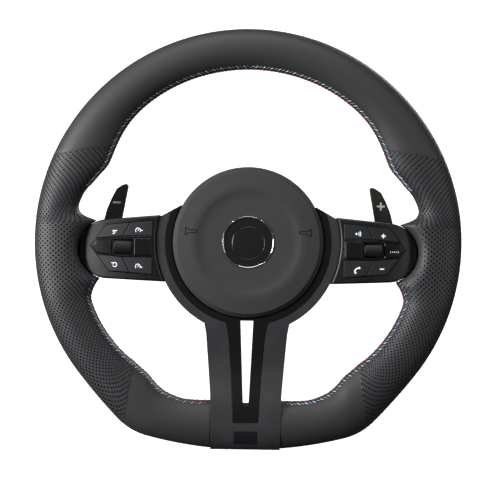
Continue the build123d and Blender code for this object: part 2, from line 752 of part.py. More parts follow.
with BuildPart() as emblem_disc:
    with BuildSketch(Plane.XY):
        turned(
            (0, EMBLEM_FLOOR), (EMBLEM_R - 1.4, EMBLEM_FLOOR), (EMBLEM_R - 1.4, COVER_TOP - 2.6),
            (14.4, COVER_TOP - 2.4), (14.2, COVER_TOP - 2.8), (13.6, COVER_TOP - 2.8),
            (13.4, COVER_TOP - 2.4), (0, COVER_TOP - 2.0),
        )
    revolve(axis=Axis.Y)
keep("emblem_disc", emblem_disc.part)

FLOOR_THICK = 1.6
HOUSING_FLOOR = HOUSING_BACK + FLOOR_THICK

with BuildPart() as airbag_housing:
    with BuildSketch(Plane.XY):
        turned(
            (INFLATOR_R + 0.4, HOUSING_BACK), (HOUSING_R, HOUSING_BACK), (HOUSING_R, RIM_MID),
            (HOUSING_R - 1.5, RIM_MID), (HOUSING_R - 1.5, HOUSING_FLOOR),
            (INFLATOR_R + 0.4, HOUSING_FLOOR),
        )
    revolve(axis=Axis.Y)
keep("airbag_housing", airbag_housing.part)

INFLATOR_TOP = EMBLEM_FLOOR - WALL - 4.5
FLANGE_R = 43.0
with BuildPart() as inflator:
    with BuildSketch(Plane.XY):
        turned(
            (0, HOUSING_BACK - 2.5), (INFLATOR_R, HOUSING_BACK - 2.5), (INFLATOR_R, HOUSING_FLOOR),
            (FLANGE_R, HOUSING_FLOOR), (FLANGE_R, HOUSING_FLOOR + 1.4),
            (INFLATOR_R, HOUSING_FLOOR + 1.4), (INFLATOR_R, INFLATOR_TOP - 3.0),
            (INFLATOR_R - 3.0, INFLATOR_TOP), (0, INFLATOR_TOP),
        )
    revolve(axis=Axis.Y)
keep("inflator", inflator.part)

RETAINER_TOP = HOUSING_FLOOR + 2.8
with BuildPart() as retainer_ring:
    with BuildSketch(at_depth(HOUSING_FLOOR + 1.4)):
        Circle(FLANGE_R)
        Circle(INFLATOR_R + 0.5, mode=Mode.SUBTRACT)
    extrude(amount=1.4)
keep("retainer_ring", retainer_ring.part)

with BuildPart() as inflator_nuts:
    with BuildSketch(at_depth(RETAINER_TOP)):
        with PolarLocations(36.5, 4, start_angle=45):
            RegularPolygon(4.0, 6)
    extrude(amount=3.0)
    with BuildSketch(at_depth(RETAINER_TOP)):
        with PolarLocations(36.5, 4, start_angle=45):
            Circle(2.0)
    extrude(amount=4.2)
keep("inflator_nuts", inflator_nuts.part)

CUSHION_LOW = RETAINER_TOP + 4.6
with BuildPart() as folded_cushion:
    with BuildSketch(Plane.XY):
        turned(
            (0, INFLATOR_TOP + 0.5), (INFLATOR_R + 0.8, INFLATOR_TOP + 0.5),
            (INFLATOR_R + 0.8, CUSHION_LOW), (HOUSING_R - 2.0, CUSHION_LOW),
            (HOUSING_R - 2.0, INFLATOR_TOP + 3.5), (0, INFLATOR_TOP + 3.5),
        )
    revolve(axis=Axis.Y)
keep("folded_cushion", folded_cushion.part)

with BuildPart() as guide_pins:
    with BuildSketch(at_depth(PLATE_BACK - 2.1)):
        with PolarLocations(PIN_CIRCLE, 3, start_angle=90):
            Circle(GUIDE_R + 1.5)
    extrude(amount=2.0)
    with BuildSketch(at_depth(PLATE_BACK - 2.1)):
        with PolarLocations(PIN_CIRCLE, 3, start_angle=90):
            Circle(GUIDE_R)
    extrude(amount=HOUSING_BACK - PLATE_BACK + 2.1)
keep("guide_pins", guide_pins.part)

PLATE_FRONT = PLATE_BACK + PLATE_THICK
with BuildPart() as horn_contacts:
    with BuildSketch(at_depth(PLATE_FRONT)):
        with PolarLocations(PIN_CIRCLE + 2.0, 3, start_angle=150):
            Circle(2.0)
    extrude(amount=HOUSING_BACK - PLATE_FRONT - HORN_TRAVEL - 0.2)
keep("horn_contacts", horn_contacts.part)

SPRING_WIRE = 0.45
with BuildPart() as one_spring:
    with BuildLine() as coil:
        Helix(
            1.6, HOUSING_BACK - PLATE_FRONT - 2 * SPRING_WIRE - 0.3, 4.2,
            center=(0, -(PLATE_FRONT + SPRING_WIRE + 0.15), PIN_CIRCLE), direction=(0, -1, 0),
        )
    with BuildSketch(Plane(origin=coil.line @ 0, z_dir=coil.line % 0)):
        Circle(SPRING_WIRE)
    sweep(is_frenet=True)
with BuildPart() as horn_springs:
    for turn in (0, 120, 240):
        add(one_spring.part, rotation=(0, turn, 0))
keep("horn_springs", horn_springs.part)


# ---- rear cover ----
BULGE_X0, BULGE_X1 = 58.0, 92.0
BULGE_Z0, BULGE_Z1 = -21.0, 13.5
BULGE_BACK = HINGE_D - 10.0


def rear_form(inset, open_depth, collar_depth):
    """Outside of the rear cover, or its hollow when drawn inset."""
    with BuildPart() as leg:
        with BuildSketch(at_depth(0.0)):
            leg_outline(inset)
        extrude(amount=2 * RIM_MID)
        add(leg_back(inset, open_depth), mode=Mode.INTERSECT)
    with BuildPart() as form:
        with BuildSketch(at_depth(BACK + inset)):
            Circle(FORK_R - 0.4 - inset)
            below(COLLAR_TOP - inset)
            pod_shape(-0.4 - inset)
            mirror(about=Plane.YZ)
        extrude(amount=open_depth - BACK - inset)
        with BuildSketch(Plane.XY):
            turned(
                (0, BOWL_BACK + inset), (BOWL_SMALL_R - inset, BOWL_BACK + inset),
                (BOWL_R - inset, BACK), (BOWL_R - inset, collar_depth), (0, collar_depth),
            )
        revolve(axis=Axis.Y)
        with BuildSketch(at_depth(BULGE_BACK + inset)):
            mid_z = (BULGE_Z0 + BULGE_Z1) / 2
            mid_x = (BULGE_X0 + BULGE_X1) / 2
            with Locations((mid_x, mid_z), (-mid_x, mid_z)):
                RectangleRounded(
                    BULGE_X1 - BULGE_X0 - 2 * inset, BULGE_Z1 - BULGE_Z0 - 2 * inset, 6.0 - inset
                )
        extrude(amount=BACK - BULGE_BACK + 1.0)
        add(leg.part)
    return form.part


rear_outside = rear_form(0.0, SPLIT - 0.2, SPLIT - HORN_TRAVEL - 0.4)
rear_hollow = rear_form(SHELL, SPLIT + 0.5, SPLIT + 0.5)
SCREW_SITES = [
    (ARM_SCREW_X, ARM_SCREW_Z), (-ARM_SCREW_X, ARM_SCREW_Z),
    (LEG_ARM_X + LEG_ARM_W / 2, LOWER_SCREW_Z), (-LEG_ARM_X - LEG_ARM_W / 2, LOWER_SCREW_Z),
]

with BuildPart() as rear_cover:
    add(rear_outside)
    add(rear_hollow, mode=Mode.SUBTRACT)
    with BuildSketch(at_depth(0.0)):
        Circle(HUB_OPENING_R)
        slot_outline()
        with Locations(*SCREW_SITES):
            Circle(SCREW_R + 0.2)
    extrude(amount=TUNNEL_BACK, mode=Mode.SUBTRACT)
    with BuildSketch(at_depth(BACK + SHELL)):
        with Locations((POD_TIP, (ARM_LOW + ARM_HIGH) / 2), (-POD_TIP, (ARM_LOW + ARM_HIGH) / 2)):
            Rectangle(14.0, ARM_HIGH - ARM_LOW + 2 * FIT)
    extrude(amount=SPLIT - BACK, mode=Mode.SUBTRACT)
    with BuildSketch(Plane.XY.offset(EYE_LOW - 0.7)):
        with Locations((BULGE_X1, -HINGE_D - 2.0), (-BULGE_X1, -HINGE_D - 2.0)):
            Rectangle(8.0, PADDLE_THICK + 6.0)
    extrude(amount=EYE_HIGH - EYE_LOW + 1.4, mode=Mode.SUBTRACT)
    with BuildSketch(at_depth(SPLIT - HORN_TRAVEL - 0.4)):
        Circle(BOWL_R)
    extrude(amount=SPLIT, mode=Mode.SUBTRACT)
    add(ring_passage.part, mode=Mode.SUBTRACT)
keep("rear_cover", rear_cover.part)

with BuildPart() as cover_screws:
    with BuildSketch(at_depth(BACK - 1.4)):
        with Locations(*SCREW_SITES):
            Circle(3.2)
    extrude(amount=1.4)
    with BuildSketch(at_depth(BACK)):
        with Locations(*SCREW_SITES):
            Circle(SCREW_R)
    extrude(amount=9.0)
keep("cover_screws", cover_screws.part)


# ---- shift paddles ----
BLADE = [
    (105.5, 51.0), (111.4, 18.7), (106.0, -16.0), (115.0, -26.0), (128.6, 13.0), (124.8, 27.8),
    (120.9, 37.3), (116.4, 45.9), (111.5, 49.2),
]
MARK_X, MARK_Z = 116.3, 33.6
MARK_LONG, MARK_WIDE = 7.2, 1.7
LUG_LOW, LUG_HIGH = (-17.0, -14.5), (7.4, 9.6)
SWITCH_X0, SWITCH_X1 = 78.2, 88.0
BLOCK_X0, BLOCK_X1 = 65.0, 78.0
BLOCK_Z0, BLOCK_Z1 = -13.0, 1.0
BRACKET_D = HINGE_D + EYE_R + 0.6


def mark_outline(plus):
    with Locations((MARK_X, MARK_Z)):
        Rectangle(MARK_LONG, MARK_WIDE)
        if plus:
            Rectangle(MARK_WIDE, MARK_LONG)


def make_mark(plus):
    with BuildPart() as mark:
        with BuildSketch(at_depth(HINGE_D + PADDLE_THICK / 2 - MARK_THICK + 0.15)) as face:
            mark_outline(plus)
        extrude(face.sketch, amount=MARK_THICK)
    return mark.part


def make_paddle(mark):
    with BuildPart() as paddle:
        with BuildSketch(at_depth(HINGE_D - PADDLE_THICK / 2)) as blade:
            Polygon(*BLADE, align=None)
            fillet(blade.vertices(), 2.2)
        extrude(blade.sketch, amount=PADDLE_THICK)
        front = paddle.faces().sort_by(Axis.Y)[0].edges()
        back = paddle.faces().sort_by(Axis.Y)[-1].edges()
        fillet(front + back, 1.2)
        with BuildSketch(at_depth(HINGE_D - PADDLE_THICK / 2)) as arm:
            arm_low, arm_high = EYE_LOW + 2.0, EYE_HIGH - 1.5
            Polygon(
                (HINGE_X, arm_low), (BLADE[3][0] + 6.0, arm_low), (BLADE[3][0] + 6.0, arm_high),
                (HINGE_X, arm_high), align=None,
            )
        extrude(arm.sketch, amount=PADDLE_THICK)
        with BuildSketch(Plane.XY.offset(EYE_LOW)) as eye:
            with Locations((HINGE_X, -HINGE_D)):
                Circle(EYE_R)
        extrude(eye.sketch, amount=EYE_HIGH - EYE_LOW)
        with BuildSketch(Plane.XY.offset(EYE_LOW)) as hole:
            with Locations((HINGE_X, -HINGE_D)):
                Circle(HINGE_R + RUN)
        extrude(hole.sketch, amount=EYE_HIGH - EYE_LOW, mode=Mode.SUBTRACT)
        add(mark, mode=Mode.SUBTRACT)
    return paddle.part


plus_mark, minus_mark = make_mark(True), make_mark(False)
keep("right_paddle", make_paddle(plus_mark))
keep("right_paddle_mark", plus_mark)
keep("left_paddle", left_of(make_paddle(minus_mark)))
keep("left_paddle_mark", left_of(minus_mark))

with BuildPart() as paddle_bracket:
    with BuildSketch(at_depth(BRACKET_D)):
        Polygon(
            (BLOCK_X0, LUG_LOW[0]), (BLOCK_X1, LUG_LOW[0]), (BLOCK_X1, LUG_HIGH[1]),
            (BLOCK_X0, LUG_HIGH[1]), align=None,
        )
    extrude(amount=2.0)
    with BuildSketch(at_depth(BRACKET_D + 2.0)):
        Polygon(
            (BLOCK_X0, BLOCK_Z0), (BLOCK_X1, BLOCK_Z0), (BLOCK_X1, BLOCK_Z1),
            (BLOCK_X0, BLOCK_Z1), align=None,
        )
    extrude(amount=RIM_MID - 10.0 - BRACKET_D - 2.0)
    for low, high in (LUG_LOW, LUG_HIGH):
        with BuildSketch(Plane.XY.offset(low)) as lug:
            with Locations((HINGE_X, -HINGE_D)):
                Circle(EYE_R)
            Polygon(
                (HINGE_X - EYE_R, -HINGE_D), (HINGE_X + EYE_R, -HINGE_D),
                (HINGE_X + EYE_R, -BRACKET_D), (HINGE_X - EYE_R, -BRACKET_D), align=None,
            )
        extrude(lug.sketch, amount=high - low)
    with BuildSketch(Plane.XY.offset(LUG_LOW[0])):
        with Locations((HINGE_X, -HINGE_D)):
            Circle(HINGE_R)
    extrude(amount=LUG_HIGH[1] - LUG_LOW[0], mode=Mode.SUBTRACT)
    add(armature.part, mode=Mode.SUBTRACT)
keep_pair("paddle_bracket", paddle_bracket.part)

with BuildPart() as paddle_pins:
    with BuildSketch(Plane.XY.offset(LUG_LOW[0] - 0.5)):
        with Locations((HINGE_X, -HINGE_D)):
            Circle(HINGE_R)
    extrude(amount=LUG_HIGH[1] - LUG_LOW[0] + 1.0)
    mirror(about=Plane.YZ)
keep("paddle_pins", paddle_pins.part)

with BuildPart() as paddle_springs:
    with BuildLine() as coil:
        Helix(
            0.9, LUG_HIGH[0] - EYE_HIGH - 1.2, 3.2, center=(HINGE_X, -HINGE_D, EYE_HIGH + 0.6)
        )
    with BuildSketch(Plane(origin=coil.line @ 0, z_dir=coil.line % 0)):
        Circle(0.35)
    sweep(is_frenet=True)
    mirror(about=Plane.YZ)
keep("paddle_springs", paddle_springs.part)

with BuildPart() as microswitch:
    with BuildSketch(at_depth(BRACKET_D)):
        Polygon(
            (SWITCH_X0, BLOCK_Z0), (SWITCH_X1, BLOCK_Z0), (SWITCH_X1, BLOCK_Z1),
            (SWITCH_X0, BLOCK_Z1), align=None,
        )
    extrude(amount=BACK - BRACKET_D)
    with BuildSketch(at_depth(BRACKET_D - 1.0)):
        with Locations((SWITCH_X0 + 4.0, ARM_SCREW_Z)):
            Circle(1.2)
    extrude(amount=1.0)
keep_pair("paddle_microswitch", microswitch.part)


# ---- control module, connector and wiring ----
with BuildPart() as control_module:
    with BuildSketch(at_depth(BOWL_BACK + SHELL + FIT)):
        with Locations((0, -36.5)):
            RectangleRounded(38.0, 15.0, 2.0)
    extrude(amount=PLATE_BACK - BOWL_BACK - SHELL - 2 * FIT)
keep("control_module", control_module.part)

with BuildPart() as column_connector:
    with BuildSketch(at_depth(BOWL_BACK - 3.0)):
        with Locations((0, 27.5)):
            Rectangle(24.0, 11.0)
    extrude(amount=PLATE_BACK - BOWL_BACK + 3.0)
    with BuildSketch(at_depth(BOWL_BACK - 3.0)):
        with Locations((0, 27.5)):
            Rectangle(21.0, 8.0)
    extrude(amount=7.0, mode=Mode.SUBTRACT)
keep("column_connector", column_connector.part)

WIRE_R = 1.3
WIRE_D = (PLATE_FRONT + HOUSING_BACK - HORN_TRAVEL) / 2
POD_WIRE = [
    (84.0, 12.0, SPLIT - BOARD_THICK), (84.0, 12.0, 39.5), (60.0, 16.0, 39.5), (52.0, 18.0, WIRE_D),
    (*HARNESS_HOLE, WIRE_D), (*HARNESS_HOLE, 14.0), (12.0, HARNESS_HOLE[1], 14.0),
]


def tube(points):
    with BuildPart() as wire:
        with BuildLine() as route:
            FilletPolyline(*[(x, -depth, z) for x, z, depth in points], radius=2.0)
        with BuildSketch(Plane(origin=route.line @ 0, z_dir=route.line % 0)) as end:
            Circle(WIRE_R)
        sweep(end.sketch, path=route.line)
    return wire.part


right_wire = tube(POD_WIRE)
module_wire = tube([
    (-12.0, 24.5, 14.0), (-22.0, 24.5, 14.0), (-29.0, 6.0, 14.0), (-29.0, -10.0, 14.0),
    (-15.0, -21.0, 14.0), (-15.0, -29.0, 14.0),
])
with BuildPart() as wiring_harness:
    add(right_wire)
    add(left_of(right_wire))
    add(module_wire)
keep("wiring_harness", wiring_harness.part)

os.makedirs("parts", exist_ok=True)
for name, piece in PIECES.items():
    export_step(piece, f"parts/{name}.step")
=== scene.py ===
import json
import math

import bmesh
import bpy
from mathutils import Matrix, Vector
from mathutils.bvhtree import BVHTree


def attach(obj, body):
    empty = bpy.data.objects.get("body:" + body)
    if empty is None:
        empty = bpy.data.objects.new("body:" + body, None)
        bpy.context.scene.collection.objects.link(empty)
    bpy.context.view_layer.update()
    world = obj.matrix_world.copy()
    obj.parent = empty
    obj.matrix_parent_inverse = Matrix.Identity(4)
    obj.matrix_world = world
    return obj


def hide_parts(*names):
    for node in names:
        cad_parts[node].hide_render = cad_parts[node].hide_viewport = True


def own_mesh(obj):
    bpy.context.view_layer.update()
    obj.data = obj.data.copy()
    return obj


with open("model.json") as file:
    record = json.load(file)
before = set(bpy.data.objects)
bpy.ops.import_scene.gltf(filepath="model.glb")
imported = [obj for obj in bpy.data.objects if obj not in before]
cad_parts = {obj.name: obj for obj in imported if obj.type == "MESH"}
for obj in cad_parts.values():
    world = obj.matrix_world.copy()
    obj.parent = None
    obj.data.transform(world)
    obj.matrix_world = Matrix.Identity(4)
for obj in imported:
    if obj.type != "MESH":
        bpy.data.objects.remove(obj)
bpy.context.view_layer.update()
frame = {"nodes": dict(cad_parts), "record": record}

bl_info = {
    "name": "Sport Steering Wheel",
    "version": (1, 0, 0),
    "blender": (4, 5, 0),
    "location": "View3D > Sidebar > Wheel",
    "description": "Leather, stitching, trim and finishes of a sport steering wheel",
    "category": "Add Mesh",
}

NODES = frame["nodes"]
SLOT_OF = {part["node"]: part["material_slot"] for part in frame["record"]["subparts"]}

# ---- rim's shape, in metres: X to the right, Z up, the driver on the -Y side ----
RIM_R = 0.185
FLAT_Z = -0.1795
RIM_Y = -0.050
HALF_DEEP = 0.0155
SIDE_ARC_R, SIDE_FROM, SIDE_TO = 0.5, -38.0, -44.0
FLAT_ARC_R = 0.34
UPPER_SEAM, LOWER_SEAM, FOOT = 23.5, -53.2, -84.8
# Outward direction of the outer edge, direction of the inner edge, and band between them in mm.
SECTIONS = [
    (90.0, 90.0, 35.0), (72.0, 72.0, 35.4), (56.0, 56.0, 36.5), (40.0, 46.0, 38.4),
    (30.0, 39.0, 41.5), (23.5, 35.0, 43.7), (19.0, 28.6, 46.3), (14.5, 22.0, 42.2),
    (10.5, 15.0, 36.0), (8.4, 11.4, 34.8), (6.4, 9.0, 38.4), (5.2, 8.1, 45.0), (4.0, 7.3, 52.5),
    (0.0, 0.0, 56.0), (-6.0, -8.0, 55.0), (-10.3, -13.8, 52.8), (-14.0, -16.8, 46.0),
    (-18.0, -21.0, 40.2), (-27.0, -29.0, 39.8), (-35.0, -36.0, 40.2), (-41.0, -43.0, 41.2),
    (-53.2, -47.5, 42.5), (-60.0, -53.0, 42.2), (-67.0, -58.0, 38.9), (-74.0, -62.5, 37.4),
    (-78.5, -67.0, 38.0), (-81.5, -72.0, 41.0), (-84.8, -77.3, 44.8),
]
SEAM_TURN = math.pi - 0.12      # where the leather's two edges meet, just before the inner edge
NOTCH = (0.1209, -0.0073, 0.0264)   # centre and radius of the recess for a switch pod's end


def heading(angle):
    return math.cos(math.radians(angle)), math.sin(math.radians(angle))


def rim_arcs():
    """Centre, radius, and the outward directions between which each right-hand arc runs."""
    nx, nz = heading(SIDE_FROM)
    side = ((RIM_R - SIDE_ARC_R) * nx, (RIM_R - SIDE_ARC_R) * nz)
    nx, nz = heading(SIDE_TO)
    end = (side[0] + SIDE_ARC_R * nx, side[1] + SIDE_ARC_R * nz)
    flat = (0.0, FLAT_Z + FLAT_ARC_R)
    vx, vz = flat[0] - end[0], flat[1] - end[1]
    corner_r = (FLAT_ARC_R**2 - vx**2 - vz**2) / (2 * (vx * nx + vz * nz + FLAT_ARC_R))
    corner = (end[0] - corner_r * nx, end[1] - corner_r * nz)
    turn = math.degrees(math.atan2(corner[1] - flat[1], corner[0]))
    return [
        ((0.0, 0.0), RIM_R, SIDE_FROM), (side, SIDE_ARC_R, SIDE_TO), (corner, corner_r, turn),
        (flat, FLAT_ARC_R, -91.0),
    ]


ARCS = rim_arcs()


def eased(column):
    """Smooth curve without overshoot through one column of the sections."""
    rows = sorted((section[0], section[column]) for section in SECTIONS)
    steps = [(b[1] - a[1]) / (b[0] - a[0]) for a, b in zip(rows, rows[1:])]
    slopes = [steps[0]]
    for before, after in zip(steps, steps[1:]):
        slopes.append(2 * before * after / (before + after) if before * after > 0 else 0.0)
    slopes.append(steps[-1])

    def curve(at):
        at = min(max(at, rows[0][0]), rows[-1][0])
        spot = max(i for i in range(len(steps)) if rows[i][0] <= at)
        (x0, y0), (x1, y1) = rows[spot], rows[spot + 1]
        wide = x1 - x0
        t = (at - x0) / wide
        return (
            (1 + 2 * t) * (1 - t) ** 2 * y0 + t * (1 - t) ** 2 * wide * slopes[spot]
            + t * t * (3 - 2 * t) * y1 - t * t * (1 - t) * wide * slopes[spot + 1]
        )

    return curve


inner_heading = eased(1)
band_width = eased(2)


def rim_point(angle, turn, lift=0.0):
    """Point of the rim: angle runs round the wheel, turn round its section from the outer edge."""
    side = 1.0
    if angle > 90.0:
        angle, side = 180.0 - angle, -1.0
    nx, nz = heading(angle)
    for centre, radius, stop in ARCS:
        if angle >= stop:
            ox, oz = centre[0] + radius * nx, centre[1] + radius * nz
            break
    ix, iz = heading(inner_heading(angle))
    reach = RIM_R - band_width(angle) / 1000.0
    ix, iz = ix * reach, iz * reach
    half = math.hypot(ox - ix, oz - iz) / 2
    ux, uz = (ox - ix) / 2 / half, (oz - iz) / 2 / half
    out = (half + lift) * math.cos(turn)
    return Vector((
        side * ((ox + ix) / 2 + ux * out), RIM_Y - (HALF_DEEP + lift) * math.sin(turn),
        (oz + iz) / 2 + uz * out,
    ))


def even_steps(points_of, start, stop, count):
    """Values between start and stop at which points_of() steps by equal distances."""
    fine = [start + (stop - start) * i / 600 for i in range(601)]
    places = [points_of(value) for value in fine]
    run = [0.0]
    for before, after in zip(places, places[1:]):
        run.append(run[-1] + (after - before).length)
    chosen, at = [], 0
    for step in range(count + 1):
        goal = run[-1] * step / count
        while at < 599 and run[at + 1] < goal:
            at += 1
        share = (goal - run[at]) / (run[at + 1] - run[at])
        chosen.append(fine[at] + (fine[at + 1] - fine[at]) * min(max(share, 0.0), 1.0))
    return chosen


def between(values, at):
    """Value at a fractional place in a list, carried straight on past its ends."""
    spot = min(max(int(math.floor(at)), 0), len(values) - 2)
    return values[spot] + (values[spot + 1] - values[spot]) * (at - spot)


# ---- meshes ----
def to_piece(bm, name, smooth=35.0, turn_out=True):
    """Object from a bmesh, at the origin, with its normals outward and crisp edges kept."""
    if turn_out:
        bmesh.ops.recalc_face_normals(bm, faces=bm.faces)
    mesh = bpy.data.meshes.new(name)
    bm.to_mesh(mesh)
    bm.free()
    for face in mesh.polygons:
        face.use_smooth = True
    mesh.set_sharp_from_angle(angle=math.radians(smooth))
    piece = bpy.data.objects.new(name, mesh)
    bpy.context.scene.collection.objects.link(piece)
    return piece


def dress(piece, finish, body="wheel", stands_for=()):
    """Gives a finished piece its material, its body and the CAD nodes it stands for."""
    piece.data.materials.clear()
    piece.data.materials.append(finish)
    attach(piece, body)
    if stands_for:
        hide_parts(*stands_for)
    return piece


def refined(node, width, segments=2, sharp=30.0):
    """Copy of a CAD node with its edges softly rounded."""
    bm = bmesh.new()
    bm.from_mesh(NODES[node].data)
    bmesh.ops.remove_doubles(bm, verts=bm.verts, dist=2e-6)
    bmesh.ops.dissolve_limit(
        bm, angle_limit=math.radians(0.8), verts=bm.verts, edges=bm.edges
    )
    limit = math.radians(sharp)
    edges = [e for e in bm.edges if len(e.link_faces) == 2 and e.calc_face_angle(0.0) > limit]
    bmesh.ops.bevel(
        bm, geom=edges, offset=width, offset_type="OFFSET", segments=segments, profile=0.5,
        affect="EDGES", clamp_overlap=True, material=-1, loop_slide=True,
    )
    piece = to_piece(bm, node + "_skin", smooth=50.0, turn_out=False)
    weigh = piece.modifiers.new("even_shading", "WEIGHTED_NORMAL")
    weigh.keep_sharp = True
    return piece


# ---- shader groups and finishes ----
def add_node(tree, kind, at, **settings):
    made = tree.nodes.new(kind)
    made.location = at
    for name, value in settings.items():
        setattr(made, name, value)
    return made


def new_group(name, inputs, outputs):
    group = bpy.data.node_groups.new(name, "ShaderNodeTree")
    for label, kind, value in inputs:
        socket = group.interface.new_socket(name=label, in_out="INPUT", socket_type=kind)
        if value is not None:
            socket.default_value = value
    for label, kind in outputs:
        group.interface.new_socket(name=label, in_out="OUTPUT", socket_type=kind)
    given = add_node(group, "NodeGroupInput", (-900, 0))
    result = add_node(group, "NodeGroupOutput", (700, 0))
    return group, given, result


def math_node(group, operation, at, first, second):
    made = add_node(group, "ShaderNodeMath", at, operation=operation)
    for socket, value in zip(made.inputs, (first, second)):
        if isinstance(value, (int, float)):
            socket.default_value = value
        else:
            group.links.new(value, socket)
    return made.outputs[0]


def grain_group(name, scale, fine):
    """Empty group whose height and creases a surface's grain fills in."""
    return new_group(
        name,
        [("Vector", "NodeSocketVector", None), ("Scale", "NodeSocketFloat", scale),
         ("Fine", "NodeSocketFloat", fine)],
        [("Height", "NodeSocketFloat"), ("Creases", "NodeSocketFloat")],
    )


def scaled(group, given, at, times):
    """The group's scale, multiplied."""
    return math_node(group, "MULTIPLY", at, given.outputs["Scale"], times)


def pebble_group():
    """Rounded pebbles with fine creases between them, as on embossed leather."""
    name = "pebble_grain"
    if name in bpy.data.node_groups:
        return bpy.data.node_groups[name]
    group, given, result = grain_group(name, 1000.0, 0.35)
    warp = add_node(group, "ShaderNodeTexNoise", (-700, -250))
    warp.inputs["Detail"].default_value = 1.0
    group.links.new(given.outputs["Vector"], warp.inputs["Vector"])
    group.links.new(scaled(group, given, (-860, -300), 0.6), warp.inputs["Scale"])
    shift = add_node(group, "ShaderNodeVectorMath", (-520, -150), operation="MULTIPLY_ADD")
    group.links.new(warp.outputs["Color"], shift.inputs[0])
    shift.inputs[1].default_value = (0.0005, 0.0005, 0.0005)
    group.links.new(given.outputs["Vector"], shift.inputs[2])
    cells = add_node(group, "ShaderNodeTexVoronoi", (-340, 100), feature="SMOOTH_F1")
    cells.inputs["Smoothness"].default_value = 0.35
    group.links.new(shift.outputs[0], cells.inputs["Vector"])
    group.links.new(given.outputs["Scale"], cells.inputs["Scale"])
    fine = add_node(group, "ShaderNodeTexNoise", (-340, -300))
    fine.inputs["Detail"].default_value = 3.0
    group.links.new(given.outputs["Vector"], fine.inputs["Vector"])
    group.links.new(scaled(group, given, (-520, -420), 3.0), fine.inputs["Scale"])
    crease = math_node(group, "POWER", (-120, 100), cells.outputs["Distance"], 1.6)
    rough = math_node(group, "MULTIPLY", (-120, -250), fine.outputs["Fac"], given.outputs["Fine"])
    height = math_node(group, "SUBTRACT", (120, 0), rough, crease)
    group.links.new(height, result.inputs["Height"])
    # The creases also darken the colour of the surface: painted shade in the grain's creases.
    group.links.new(crease, result.inputs["Creases"])
    return group


def stipple_group():
    """Fine even texture of moulded or sprayed surfaces."""
    name = "fine_stipple"
    if name in bpy.data.node_groups:
        return bpy.data.node_groups[name]
    group, given, result = grain_group(name, 2000.0, 0.5)
    coarse = add_node(group, "ShaderNodeTexNoise", (-500, 100))
    coarse.inputs["Detail"].default_value = 2.0
    group.links.new(given.outputs["Vector"], coarse.inputs["Vector"])
    group.links.new(given.outputs["Scale"], coarse.inputs["Scale"])
    fine = add_node(group, "ShaderNodeTexNoise", (-500, -200))
    group.links.new(given.outputs["Vector"], fine.inputs["Vector"])
    group.links.new(scaled(group, given, (-680, -250), 2.7), fine.inputs["Scale"])
    mixed = math_node(
        group, "ADD", (-120, 0), coarse.outputs["Fac"],
        math_node(group, "MULTIPLY", (-300, -200), fine.outputs["Fac"], given.outputs["Fine"]),
    )
    group.links.new(mixed, result.inputs["Height"])
    group.links.new(coarse.outputs["Fac"], result.inputs["Creases"])
    return group


def brushed_group():
    """Fine parallel lines of drawn, turned or plated metal."""
    name = "fine_lines"
    if name in bpy.data.node_groups:
        return bpy.data.node_groups[name]
    group, given, result = grain_group(name, 2000.0, 0.5)
    stretch = add_node(group, "ShaderNodeMapping", (-700, 0))
    stretch.inputs["Scale"].default_value = (0.06, 1.0, 1.0)
    group.links.new(given.outputs["Vector"], stretch.inputs["Vector"])
    lines = add_node(group, "ShaderNodeTexNoise", (-480, 0))
    lines.inputs["Detail"].default_value = 3.0
    group.links.new(stretch.outputs[0], lines.inputs["Vector"])
    group.links.new(given.outputs["Scale"], lines.inputs["Scale"])
    group.links.new(
        math_node(group, "MULTIPLY", (-200, 0), lines.outputs["Fac"], given.outputs["Fine"]),
        result.inputs["Height"],
    )
    group.links.new(lines.outputs["Fac"], result.inputs["Creases"])
    return group


def tone_and_crease_shade_group():
    """Slow unevenness of colour and polish left by making and handling; the colour also darkens
    where the Creases input is high, which on pebble grain is painted shade in its creases.
    """
    name = "handling"
    if name in bpy.data.node_groups:
        return bpy.data.node_groups[name]
    group, given, result = new_group(
        name,
        [("Vector", "NodeSocketVector", None), ("Light", "NodeSocketColor", None),
         ("Dark", "NodeSocketColor", None), ("Smooth", "NodeSocketFloat", 0.4),
         ("Rough", "NodeSocketFloat", 0.5), ("Creases", "NodeSocketFloat", 0.0)],
        [("Color", "NodeSocketColor"), ("Roughness", "NodeSocketFloat")],
    )
    cloud = add_node(group, "ShaderNodeTexNoise", (-600, 0))
    cloud.inputs["Scale"].default_value = 45.0
    cloud.inputs["Detail"].default_value = 4.0
    cloud.inputs["Roughness"].default_value = 0.6
    group.links.new(given.outputs["Vector"], cloud.inputs["Vector"])
    spread = add_node(group, "ShaderNodeMapRange", (-380, 0))
    spread.inputs["From Min"].default_value = 0.3
    spread.inputs["From Max"].default_value = 0.7
    group.links.new(cloud.outputs["Fac"], spread.inputs["Value"])
    # Creases push the colour towards Dark: painted shade in the grain's creases.
    share = math_node(
        group, "ADD", (-180, -120), spread.outputs[0],
        math_node(group, "MULTIPLY", (-360, -300), given.outputs["Creases"], 0.8),
    )
    tint = add_node(group, "ShaderNodeMix", (200, 150), data_type="RGBA")
    group.links.new(share, tint.inputs["Factor"])
    group.links.new(given.outputs["Light"], tint.inputs[6])
    group.links.new(given.outputs["Dark"], tint.inputs[7])
    polish = add_node(group, "ShaderNodeMapRange", (200, -200))
    group.links.new(share, polish.inputs["Value"])
    group.links.new(given.outputs["Smooth"], polish.inputs["To Min"])
    group.links.new(given.outputs["Rough"], polish.inputs["To Max"])
    group.links.new(tint.outputs[2], result.inputs["Color"])
    group.links.new(polish.outputs[0], result.inputs["Roughness"])
    return group


